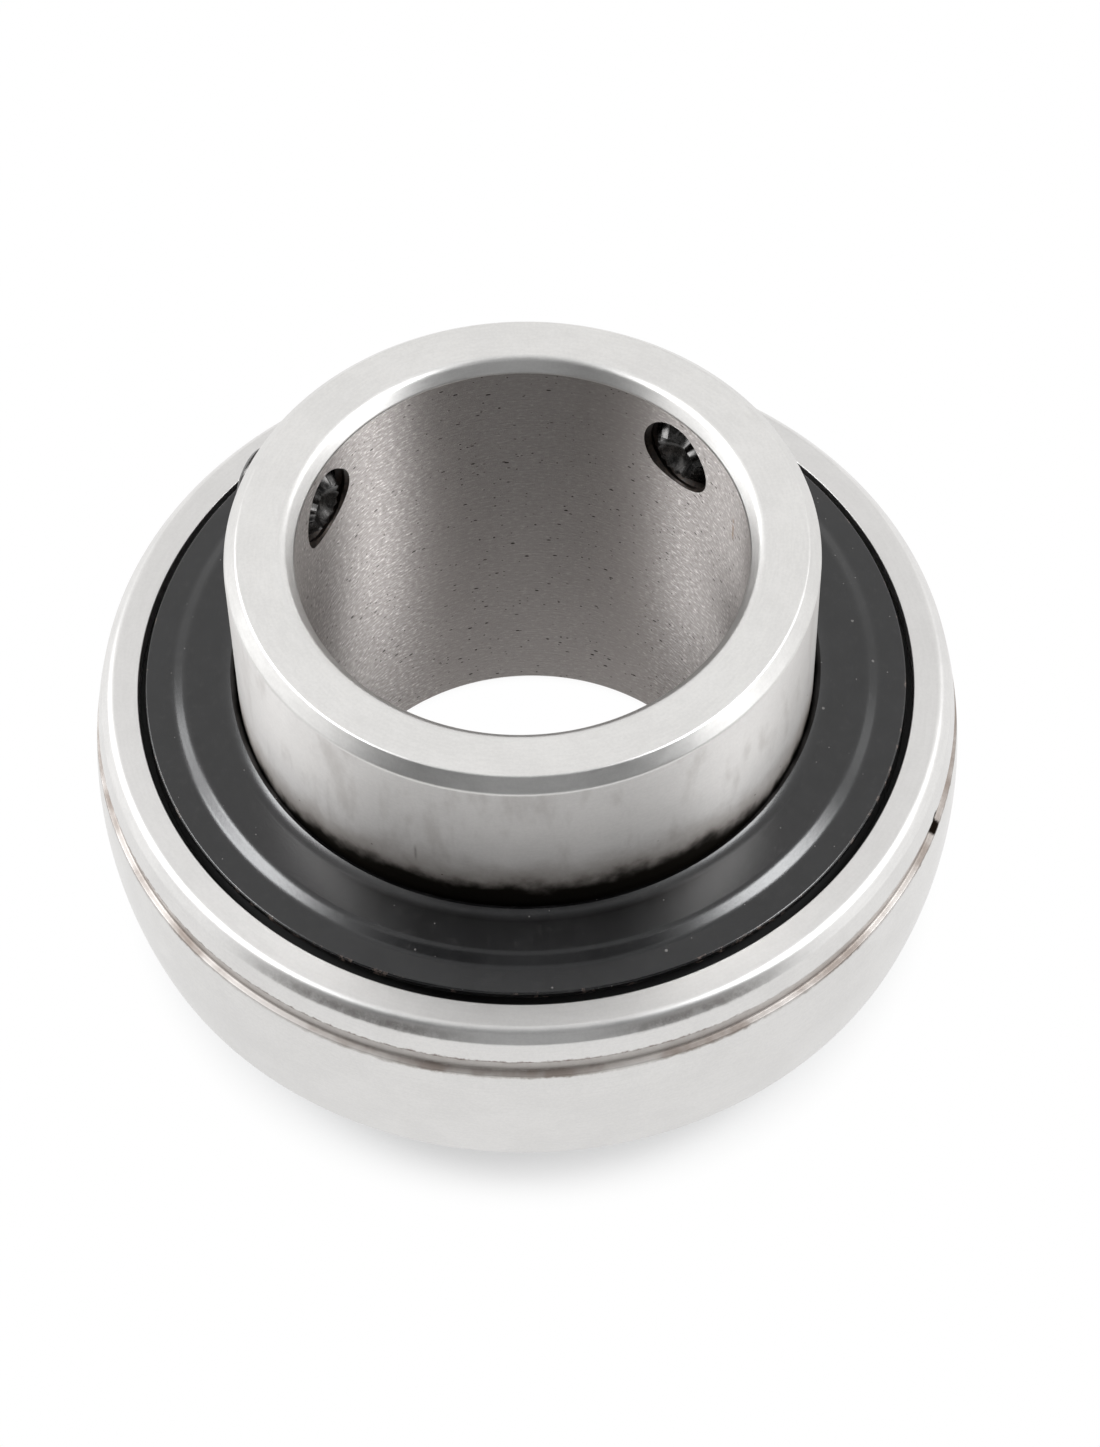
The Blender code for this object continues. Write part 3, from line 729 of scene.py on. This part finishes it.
def calc(tree, operation, first, second=0.0):
    node = tree.nodes.new("ShaderNodeMath")
    node.operation = operation
    feed(tree, first, node.inputs[0])
    feed(tree, second, node.inputs[1])
    return node.outputs[0]


def add(tree, first, second):
    return calc(tree, "ADD", first, second)


def product(tree, *values):
    total = values[0]
    for value in values[1:]:
        total = calc(tree, "MULTIPLY", total, value)
    return total


def distance(tree, first, second):
    """The length of a line with these two sides."""
    return calc(tree, "SQRT", add(tree, product(tree, first, first), product(tree, second, second)))


def spread(tree, value, low, high, to_low=0.0, to_high=1.0):
    """Maps low..high smoothly to another range and holds it beyond."""
    node = tree.nodes.new("ShaderNodeMapRange")
    node.interpolation_type = "SMOOTHSTEP"
    feed(tree, value, node.inputs["Value"])
    node.inputs["From Min"].default_value = low
    node.inputs["From Max"].default_value = high
    node.inputs["To Min"].default_value = to_low
    node.inputs["To Max"].default_value = to_high
    return node.outputs[0]


def band(tree, value, low, high, soft):
    """1 between low and high, falling to 0 over a soft edge on each side."""
    rise = spread(tree, value, low - soft, low + soft)
    fall = spread(tree, value, high - soft, high + soft, 1.0, 0.0)
    return product(tree, rise, fall)


def stretch(tree, vector, scale):
    node = tree.nodes.new("ShaderNodeVectorMath")
    node.operation = "MULTIPLY"
    tree.links.new(vector, node.inputs[0])
    node.inputs[1].default_value = scale
    return node.outputs[0]


def join(tree, x, y, z):
    node = tree.nodes.new("ShaderNodeCombineXYZ")
    for value, socket in zip((x, y, z), node.inputs):
        feed(tree, value, socket)
    return node.outputs[0]


def noise(tree, vector, scale, detail=3.0, roughness=0.55):
    node = tree.nodes.new("ShaderNodeTexNoise")
    tree.links.new(vector, node.inputs["Vector"])
    node.inputs["Scale"].default_value = scale
    node.inputs["Detail"].default_value = detail
    node.inputs["Roughness"].default_value = roughness
    return node.outputs["Fac"]


def specks(tree, vector, scale, size, chance):
    """Small round spots in a few cells of a grid: 1 in a spot and 0 elsewhere."""
    node = tree.nodes.new("ShaderNodeTexVoronoi")
    tree.links.new(vector, node.inputs["Vector"])
    node.inputs["Scale"].default_value = scale
    spot = spread(tree, node.outputs["Distance"], size * SPECK_CORE, size, 1.0, 0.0)
    parts = tree.nodes.new("ShaderNodeSeparateColor")
    tree.links.new(node.outputs["Color"], parts.inputs[0])
    chosen = calc(tree, "LESS_THAN", parts.outputs[0], chance)
    return product(tree, spot, chosen)


def blend_colour(tree, share, first, second):
    node = tree.nodes.new("ShaderNodeMix")
    node.data_type = "RGBA"
    feed(tree, share, node.inputs["Factor"])
    for value, socket in ((first, node.inputs["A"]), (second, node.inputs["B"])):
        feed(tree, (*value, 1.0) if isinstance(value, tuple) else value, socket)
    return node.outputs["Result"]


def bump(tree, height, strength, depth):
    node = tree.nodes.new("ShaderNodeBump")
    node.inputs["Strength"].default_value = strength
    node.inputs["Distance"].default_value = depth
    tree.links.new(height, node.inputs["Height"])
    return node.outputs[0]


def new_material(name, metallic, **sockets):
    material = bpy.data.materials.new(name)
    material.use_nodes = True
    shader = material.node_tree.nodes["Principled BSDF"]
    shader.inputs["Metallic"].default_value = metallic
    for socket, value in sockets.items():
        shader.inputs[socket.replace("_", " ")].default_value = value
    return material, material.node_tree, shader


def where_in_mm(tree):
    """A point's place on its own piece, in millimetres."""
    node = tree.nodes.new("ShaderNodeTexCoord")
    return stretch(tree, node.outputs["Object"], (1.0 / MM, 1.0 / MM, 1.0 / MM))


def places(tree):
    """Where a point lies on the bearing, in millimetres and degrees."""
    where = where_in_mm(tree)
    parts = tree.nodes.new("ShaderNodeSeparateXYZ")
    tree.links.new(where, parts.inputs[0])
    x, y, z = parts.outputs
    radius = distance(tree, x, y)
    angle = calc(tree, "DEGREES", calc(tree, "ARCTAN2", y, x))
    height = calc(tree, "SUBTRACT", z, BALL_PLANE / MM)
    along = product(tree, radius, MARKS_RADIUS_SHARE)
    along = add(tree, along, product(tree, height, MARKS_HEIGHT_SHARE))
    across = join(tree, calc(tree, "DIVIDE", x, radius), calc(tree, "DIVIDE", y, radius), along)
    return {"where": where, "radius": radius, "angle": angle, "height": height, "across": across}


def away_from(tree, value, middle):
    """How far a value lies from a middle one, on either side."""
    return calc(tree, "ABSOLUTE", calc(tree, "SUBTRACT", value, middle))


def centred(tree, fraction):
    """Moves a noise of 0 to 1 so that it swings about 0."""
    return calc(tree, "SUBTRACT", fraction, 0.5)


def turning_marks(tree, place):
    """Fine lines that run round the bearing and break now and then."""
    vector = stretch(tree, place["across"], (MARKS_AROUND, MARKS_AROUND, 1.0 / MARKS_PITCH))
    return noise(tree, vector, scale=1.0, detail=4.0, roughness=0.6)


def steel(name, colour, roughness, anisotropy):
    """Ground steel with fine marks round the axis, faint clouds and a slight change of gloss."""
    material, tree, shader = new_material(name, 1.0, Anisotropic=anisotropy, Anisotropic_Rotation=0.25)
    place = places(tree)
    tangent = tree.nodes.new("ShaderNodeTangent")
    tangent.direction_type = "RADIAL"
    tangent.axis = "Z"
    tree.links.new(tangent.outputs[0], shader.inputs["Tangent"])
    lines = turning_marks(tree, place)
    clouds = noise(tree, place["where"], scale=0.22, detail=3.0)
    grain = noise(tree, place["where"], scale=3.5, detail=4.0, roughness=0.7)
    tone = add(tree, spread(tree, lines, 0.3, 0.7, -0.3, 0.3), spread(tree, clouds, 0.3, 0.7, -0.3, 0.3))
    tone = add(tree, tone, spread(tree, grain, 0.3, 0.7, -0.4, 0.4))
    dark = tuple(c * STEEL_DARK for c in colour)
    light = tuple(min(1.0, c * STEEL_LIGHT) for c in colour)
    base = blend_colour(tree, spread(tree, tone, -1.0, 1.0), dark, light)
    rough = add(tree, roughness - 0.05, product(tree, lines, 0.1))
    tree.links.new(bump(tree, lines, strength=0.25, depth=0.02 * MM), shader.inputs["Normal"])
    return {
        "material": material,
        "tree": tree,
        "shader": shader,
        "place": place,
        "base": base,
        "rough": rough,
    }


def stain_or_shade(look, share, colour, roughness):
    """Lays one colour over a steel, for dirt and for painted shade."""
    tree = look["tree"]
    look["base"] = blend_colour(tree, share, look["base"], colour)
    clear = calc(tree, "SUBTRACT", 1.0, share)
    look["rough"] = add(tree, product(tree, look["rough"], clear), product(tree, share, roughness))


def close(look):
    """Links the finished colour and roughness of a steel to its shader."""
    look["tree"].links.new(look["base"], look["shader"].inputs["Base Color"])
    look["tree"].links.new(look["rough"], look["shader"].inputs["Roughness"])
    return look["material"]


# Materials. Heights are millimetres above the ball plane, and angles are degrees from +X.

def outer_ring_material():
    look = steel("outer_ring_steel", OUTER_STEEL, roughness=0.38, anisotropy=0.15)
    ragged = noise(look["tree"], look["place"]["where"], scale=1.1, detail=5.0, roughness=0.7)
    soil_groove(look, ragged)
    soil_lube_hole(look, ragged)
    dull_face(look)
    smear_chamfer(look, ragged)
    return close(look)


def soil_groove(look, ragged):
    """Old grease in the groove, darker along its upper edge at the left and along its foot."""
    tree, place = look["tree"], look["place"]
    foot = (LUBE_HEIGHT - LUBE_WIDTH / 2) / MM
    top = foot + LUBE_WIDTH / MM
    film = band(tree, place["height"], foot, top, soft=0.1)
    film = product(tree, film, add(tree, 0.3, product(tree, ragged, 0.4)))
    stain_or_shade(look, film, GROOVE_FILM, roughness=0.55)
    level = add(tree, place["height"], product(tree, centred(tree, ragged), 0.9))
    line = band(tree, level, top - 0.3, top + 0.12, soft=0.16)
    left = band(tree, place["angle"], *GROOVE_LINE_ANGLES, soft=14.0)
    line = product(tree, line, add(tree, product(tree, left, 0.65), 0.2))
    stain_or_shade(look, line, GROOVE_LINE, roughness=0.6)
    patches = noise(tree, place["where"], scale=0.14, detail=4.0, roughness=0.6)
    patches = spread(tree, patches, 0.38, 0.62, 0.35, 0.95)
    level = add(tree, place["height"], product(tree, ragged, 0.8))
    low = band(tree, level, foot + 0.1, foot + 0.7, soft=0.2)
    stain_or_shade(look, product(tree, low, patches), GROOVE_GREASE, roughness=0.6)


def soil_lube_hole(look, ragged):
    """A black spot round the first lubrication hole."""
    tree, place = look["tree"], look["place"]
    beside = calc(tree, "SUBTRACT", place["angle"], degrees(LUBE_HOLE_ANGLES[0]))
    beside = product(tree, beside, GROOVE_MM_PER_DEGREE)
    above = calc(tree, "SUBTRACT", place["height"], LUBE_HEIGHT / MM)
    reach = add(tree, distance(tree, beside, above), product(tree, ragged, 0.9))
    stain_or_shade(look, spread(tree, reach, 1.4, 1.85, 1.0, 0.0), LUBE_HOLE_DIRT, roughness=0.9)


def dull_face(look):
    """The flat end face is a little darker than the sphere."""
    tree, place = look["tree"], look["place"]
    face = spread(tree, place["height"], FACE_HEIGHT / MM - 0.1, FACE_HEIGHT / MM - 0.02, 0.0, 0.32)
    stain_or_shade(look, face, DULL_FACE, roughness=0.4)


def smear_chamfer(look, ragged):
    """Two dark smears on the chamfer at the front."""
    tree, place = look["tree"], look["place"]
    level = add(tree, place["height"], product(tree, ragged, 0.5))
    chamfer = band(tree, level, *SMEAR_HEIGHTS, soft=0.3)
    left = band(tree, place["angle"], *LEFT_SMEAR_ANGLES, soft=8.0)
    right = band(tree, place["angle"], *RIGHT_SMEAR_ANGLES, soft=7.0)
    mottle = spread(tree, ragged, 0.3, 0.62, 0.5, 1.0)
    share = product(tree, chamfer, add(tree, left, right), mottle, 0.8)
    stain_or_shade(look, share, CHAMFER_SMEAR, roughness=0.5)


def inner_ring_material():
    return close(steel("inner_ring_steel", INNER_STEEL, roughness=0.36, anisotropy=0.1))


def wall_material():
    """The inner ring's outer wall: smears, painted shade on its sides, and grime with painted shade
    where it meets the slinger.
    """
    look = steel("wall_steel", WALL_STEEL, roughness=0.44, anisotropy=0.7)
    tree, place = look["tree"], look["place"]
    smears = stretch(tree, place["where"], (1.0, 1.0, 0.35))
    smears = noise(tree, smears, scale=0.45, detail=3.0, roughness=0.5)
    stain_or_shade(look, spread(tree, smears, 0.5, 0.75, 0.0, 0.3), WALL_SMEAR, roughness=0.5)
    # Painted shade: the wall is darker on its sides, away from the front
    aside = away_from(tree, place["angle"], WALL_FRONT)
    stain_or_shade(look, spread(tree, aside, *WALL_SIDES, 0.0, 0.4), WALL_PAINTED_SHADE, roughness=0.45)
    # Grime with painted shade and a painted reflection of the black slinger at the foot of the wall,
    # reaching higher at the front
    front = band(tree, place["angle"], *WALL_FRONT_ANGLES, soft=22.0)
    ragged = noise(tree, place["where"], scale=0.35, detail=5.0, roughness=0.55)
    edge = add(tree, product(tree, centred(tree, ragged), 4.0), product(tree, front, -2.5))
    level = add(tree, place["height"], edge)
    stain_or_shade(look, spread(tree, level, *WALL_GRIME_AND_SHADE_HEIGHTS, 0.75, 0.0), WALL_GRIME_AND_SHADE, roughness=0.5)
    stain_or_shade(look, spread(tree, level, *WALL_FOOT_DIRT_AND_SHADE_HEIGHTS, 1.0, 0.0), WALL_FOOT_DIRT_AND_SHADE, roughness=0.5)
    across = band(tree, place["angle"], *WALL_SCUFF_ANGLES, soft=0.3)
    scuff = product(tree, across, band(tree, place["height"], *WALL_SCUFF_HEIGHTS, soft=0.5))
    stain_or_shade(look, product(tree, scuff, 0.6), WALL_SCUFF, roughness=0.6)
    crumbs = specks(tree, place["where"], scale=0.8, size=0.1, chance=0.16)
    crumbs = product(tree, crumbs, spread(tree, place["height"], *WALL_CRUMB_HEIGHTS, 0.8, 0.0))
    stain_or_shade(look, crumbs, WALL_CRUMB, roughness=0.6)
    return close(look)


def bore_material():
    """The bore: dull steel, darker than the ring partly as painted shade, with fine grain, painted
    glints and painted shade between them at its sides, pits and a streak of rust.
    """
    # The bore's steel is darker than the rest of the ring, partly its own duller finish and partly
    # painted shade of the bore
    look = steel("bore_steel", BORE_STEEL_AND_SHADE, roughness=0.46, anisotropy=1.0)
    tree, place = look["tree"], look["place"]
    around = product(tree, place["angle"], BORE_RADIUS / MM * pi / 180.0)
    wall = join(tree, around, place["height"], 0.0)
    grain = noise(tree, stretch(tree, wall, (0.5, 5.5, 1.0)), scale=1.0, detail=4.0, roughness=0.6)
    glints = noise(tree, stretch(tree, wall, (1.6, 4.0, 1.0)), scale=1.0, detail=3.0, roughness=0.7)
    # Painted glints of the lamps at the bore's sides, with painted shade between them, laid into the
    # colour
    aside = away_from(tree, place["angle"], BORE_BACK)
    glint_sides = spread(tree, aside, *BORE_GLINTS, 0.25, 1.0)
    glint_shade = product(tree, glint_sides, spread(tree, glints, 0.3, 0.5, 0.6, 0.0))
    painted_glints = product(tree, glint_sides, spread(tree, glints, 0.52, 0.7, 0.0, 0.9))
    look["base"] = blend_colour(tree, glint_shade, look["base"], BORE_GLINT_SHADE)
    look["base"] = blend_colour(tree, painted_glints, look["base"], BORE_PAINTED_GLINT)
    bent = join(tree, around, add(tree, place["height"], product(tree, grain, 0.4)), 0.0)
    pits = specks(tree, stretch(tree, bent, (0.5, 1.1, 1.0)), scale=1.0, size=0.13, chance=0.75)
    dots = specks(tree, stretch(tree, bent, (0.6, 1.1, 1.0)), scale=2.2, size=0.18, chance=0.35)
    holes = calc(tree, "MAXIMUM", pits, dots)
    across = band(tree, place["angle"], *BORE_RUST_ANGLES, soft=0.5)
    rust = product(tree, across, band(tree, place["height"], *BORE_RUST_HEIGHTS, soft=0.5))
    stain_or_shade(look, product(tree, rust, spread(tree, grain, 0.35, 0.6), 0.8), BORE_RUST, roughness=0.6)
    stain_or_shade(look, product(tree, holes, 0.85), BORE_PIT, roughness=0.7)
    sunk = calc(tree, "SUBTRACT", product(tree, grain, 2.0), product(tree, holes, 0.5))
    tree.links.new(bump(tree, sunk, strength=0.6, depth=0.04 * MM), look["shader"].inputs["Normal"])
    return close(look)


def thread_material():
    """Dark flanks of the threads and dark walls of the lubrication holes: painted shade inside the
    holes.
    """
    material, tree, shader = new_material("thread_painted_shade", 0.6)
    grain = noise(tree, where_in_mm(tree), scale=3.0, detail=4.0, roughness=0.65)
    base = blend_colour(tree, spread(tree, grain, 0.35, 0.7), *HOLE_SHADE_BLACKS)
    tree.links.new(base, shader.inputs["Base Color"])
    tree.links.new(spread(tree, grain, 0.3, 0.7, 0.35, 0.6), shader.inputs["Roughness"])
    return material


def slinger_material():
    """Black pressed steel with grains of dust, a thin haze and a worn outer edge."""
    material, tree, shader = new_material("slinger_black", 0.0, Specular_IOR_Level=0.62)
    place = places(tree)
    grain = noise(tree, place["where"], scale=6.0, detail=4.0, roughness=0.7)
    clouds = noise(tree, place["where"], scale=0.35, detail=3.0)
    base = blend_colour(tree, spread(tree, clouds, 0.3, 0.7), *SLINGER_BLACKS)
    large = specks(tree, place["where"], scale=0.6, size=0.1, chance=0.22)
    small = specks(tree, place["where"], scale=1.7, size=0.13, chance=0.1)
    dust = product(tree, calc(tree, "MAXIMUM", large, small), 0.4)
    haze = noise(tree, place["where"], scale=1.3, detail=5.0, roughness=0.75)
    haze = spread(tree, haze, 0.52, 0.75, 0.0, 0.035)
    base = blend_colour(tree, calc(tree, "MAXIMUM", dust, haze), base, SLINGER_DUST)
    chips = spread(tree, noise(tree, place["where"], scale=0.7, detail=4.0, roughness=0.7), 0.55, 0.68)
    worn = product(tree, spread(tree, place["radius"], *SLINGER_WORN_RADII), chips)
    base = blend_colour(tree, product(tree, worn, 0.35), base, SLINGER_WORN)
    tree.links.new(base, shader.inputs["Base Color"])
    tree.links.new(add(tree, 0.12, product(tree, grain, 0.18)), shader.inputs["Roughness"])
    tree.links.new(bump(tree, grain, strength=0.5, depth=0.012 * MM), shader.inputs["Normal"])
    return material


def rubber_material():
    material, tree, shader = new_material("seal_rubber", 0.0)
    grain = noise(tree, where_in_mm(tree), scale=5.0, detail=4.0, roughness=0.6)
    base = blend_colour(tree, grain, *RUBBER_BLACKS)
    tree.links.new(base, shader.inputs["Base Color"])
    tree.links.new(spread(tree, grain, 0.2, 0.8, 0.55, 0.8), shader.inputs["Roughness"])
    tree.links.new(bump(tree, grain, strength=0.4, depth=0.02 * MM), shader.inputs["Normal"])
    return material


def black_oxide_material():
    material, tree, shader = new_material("set_screw_black_oxide", 0.85)
    grain = noise(tree, where_in_mm(tree), scale=2.5, detail=4.0, roughness=0.65)
    base = blend_colour(tree, spread(tree, grain, 0.3, 0.7), *OXIDE_BLACKS)
    tree.links.new(base, shader.inputs["Base Color"])
    tree.links.new(spread(tree, grain, 0.3, 0.7, 0.2, 0.32), shader.inputs["Roughness"])
    tree.links.new(bump(tree, grain, strength=0.15, depth=0.02 * MM), shader.inputs["Normal"])
    return material


def ball_material():
    material, tree, shader = new_material("ball_polished_steel", 1.0)
    film = noise(tree, where_in_mm(tree), scale=0.6, detail=3.0)
    base = blend_colour(tree, film, *BALL_STEELS)
    tree.links.new(base, shader.inputs["Base Color"])
    tree.links.new(spread(tree, film, 0.3, 0.7, 0.06, 0.14), shader.inputs["Roughness"])
    return material


def cage_material():
    return close(steel("cage_pressed_steel", CAGE_STEEL, roughness=0.42, anisotropy=0.0))


def matt_material(name, grey, roughness):
    """A grey without any shine, for the floor and the panels of the studio."""
    material, _, shader = new_material(name, 0.0, Roughness=roughness, Specular_IOR_Level=0.0)
    shader.inputs["Base Color"].default_value = (grey, grey, grey, 1.0)
    return material


# Assembly

def place_piece(piece, body, slot, *nodes):
    """Hands a finished piece over: the body it rides on and the nodes it stands in for. The slot is not
    used.
    """
    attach(piece, body)
    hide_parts(*nodes)


def coat(piece, material):
    """Gives a piece its only material."""
    piece.data.materials.append(material)
    return piece


def build_discs(side, turn_over):
    """The slinger and the seal of one side."""
    slinger = turned(f"slinger_{side}_fine", turn_over(slinger_profile()))
    even_shading(slinger)
    seal = turned(f"seal_{side}_fine", turn_over(seal_profile()))
    even_shading(seal)
    return slinger, seal


def build_bearing():
    place_piece(build_outer_ring(), "outer", "ring_steel", "outer_ring")
    place_piece(build_inner_ring(), "inner", "ring_steel", "inner_ring")
    black = slinger_material()
    rubber = rubber_material()
    for side, turn_over in (("upper", list), ("lower", flipped)):
        slinger, seal = build_discs(side, turn_over)
        place_piece(coat(slinger, black), "inner", "black_steel", f"slinger_{side}")
        place_piece(coat(seal, rubber), "outer", "seal_rubber", f"seal_{side}")
    oxide = black_oxide_material()
    for number, angle in enumerate(SCREW_ANGLES, 1):
        screw = coat(build_set_screw(number, angle), oxide)
        place_piece(screw, f"screw_body_{number}", "screw_steel", f"set_screw_{number}")
    polished = ball_material()
    for number in range(1, BALL_COUNT + 1):
        ball = coat(build_ball(number), polished)
        place_piece(ball, f"ball_body_{number}", "ball_steel", f"ball_{number}")
    pressed = cage_material()
    for name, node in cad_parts.items():
        if name.startswith("cage"):
            node.data.materials.clear()
            node.data.materials.append(pressed)


# Camera, floor, world and lights

def build_camera():
    data = bpy.data.cameras.new("camera")
    data.sensor_width = CAMERA_SENSOR
    data.lens = CAMERA_LENS
    data.clip_start = CAMERA_CLIP_START
    camera = bpy.data.objects.new("camera", data)
    camera.location = CAMERA_PLACE
    camera.rotation_euler = CAMERA_TURN
    bpy.context.scene.collection.objects.link(camera)
    bpy.context.scene.camera = camera


def shown_share(tree, share):
    """A share for rays that come from the eye or from metal or glass, and none for the rest."""
    path = tree.nodes.new("ShaderNodeLightPath")
    seen = add(tree, path.outputs["Is Camera Ray"], path.outputs["Is Glossy Ray"])
    seen = add(tree, seen, path.outputs["Is Transmission Ray"])
    return product(tree, calc(tree, "MINIMUM", seen, 1.0), share)


def build_floor():
    """White paper, with a shadow round the bearing and plain white in the bore and further out."""
    shape = bmesh.new()
    bmesh.ops.create_grid(shape, x_segments=1, y_segments=1, size=FLOOR_HALF_SIZE)
    floor = new_piece("floor", shape)
    material = matt_material("white_paper", FLOOR_GREY, FLOOR_ROUGHNESS)
    tree = material.node_tree
    glow = tree.nodes.new("ShaderNodeEmission")
    mix = tree.nodes.new("ShaderNodeMixShader")
    node = tree.nodes.new("ShaderNodeTexCoord")
    away = tree.nodes.new("ShaderNodeVectorMath")
    away.operation = "LENGTH"
    tree.links.new(node.outputs["Object"], away.inputs[0])
    reach = away.outputs["Value"]
    outside = spread(tree, reach, FLOOR_SHADE_START, FLOOR_SHADE_END, FLOOR_GLOW, 1.0)
    inside = spread(tree, reach, BORE_RADIUS, INNER_RADIUS, 1.0, 0.0)
    tree.links.new(shown_share(tree, calc(tree, "MAXIMUM", outside, inside)), mix.inputs[0])
    tree.links.new(tree.nodes["Principled BSDF"].outputs[0], mix.inputs[1])
    tree.links.new(glow.outputs[0], mix.inputs[2])
    tree.links.new(mix.outputs[0], tree.nodes["Material Output"].inputs[0])
    floor.data.materials.append(material)


def build_world():
    """A dim white world, which the eye and the metal see at full strength."""
    world = bpy.data.worlds.new("studio")
    bpy.context.scene.world = world
    world.use_nodes = True
    tree = world.node_tree
    background = tree.nodes["Background"]
    background.inputs["Color"].default_value = (1.0, 1.0, 1.0, 1.0)
    strength = add(tree, WORLD_STRENGTH, shown_share(tree, 1.0 - WORLD_STRENGTH))
    tree.links.new(strength, background.inputs["Strength"])


def build_soft_box(name, azimuth, elevation, width, height, radiance):
    """An area lamp that points at the bearing, which the camera doesn't see."""
    data = bpy.data.lights.new(name, "AREA")
    data.shape = "RECTANGLE"
    data.size = width
    data.size_y = height
    data.energy = radiance * pi * width * height
    data.color = LAMP_COLOUR
    light = bpy.data.objects.new(name, data)
    turn, rise = radians(azimuth), radians(elevation)
    away = Vector((cos(rise) * cos(turn), cos(rise) * sin(turn), sin(rise)))
    light.location = away * LAMP_DISTANCE + Vector((0.0, 0.0, BALL_PLANE))
    light.rotation_euler = away.to_track_quat("Z", "Y").to_euler()
    light.visible_camera = False
    bpy.context.scene.collection.objects.link(light)


def hang_panel(name, shape, grey):
    """Adds a panel of cloth, which the camera doesn't see."""
    panel = coat(new_piece(name, shape), matt_material(name + "_cloth", grey, CLOTH_ROUGHNESS))
    panel.visible_camera = False


def build_ceiling():
    """A grey panel overhead, which keeps the tops of the rounded edges from shining."""
    shape = bmesh.new()
    shape.faces.new(ring_of(shape, CEILING_RADIUS, CEILING_HEIGHT, CEILING_SEGMENTS))
    hang_panel("ceiling", shape, CEILING_GREY)


def build_curtain(name, azimuth, half_angle, grey):
    """A curtain behind the camera, as in a studio that is lit from the sides."""
    shape = bmesh.new()
    rows = []
    for rise, reach in CURTAIN_PROFILE:
        row = []
        for i in range(CURTAIN_STEPS + 1):
            turn = radians(azimuth + half_angle * (2 * i / CURTAIN_STEPS - 1.0))
            row.append(shape.verts.new((reach * cos(turn), reach * sin(turn), rise)))
        rows.append(row)
    for this, after in zip(rows, rows[1:]):
        for i in range(CURTAIN_STEPS):
            shape.faces.new((this[i], this[i + 1], after[i + 1], after[i]))
    hang_panel(name, shape, grey)


build_bearing()
build_camera()
build_floor()
build_world()
build_ceiling()
for curtain in CURTAINS:
    build_curtain(*curtain)
for lamp in LAMPS:
    build_soft_box(*lamp)
bpy.context.scene.view_settings.view_transform = "Standard"
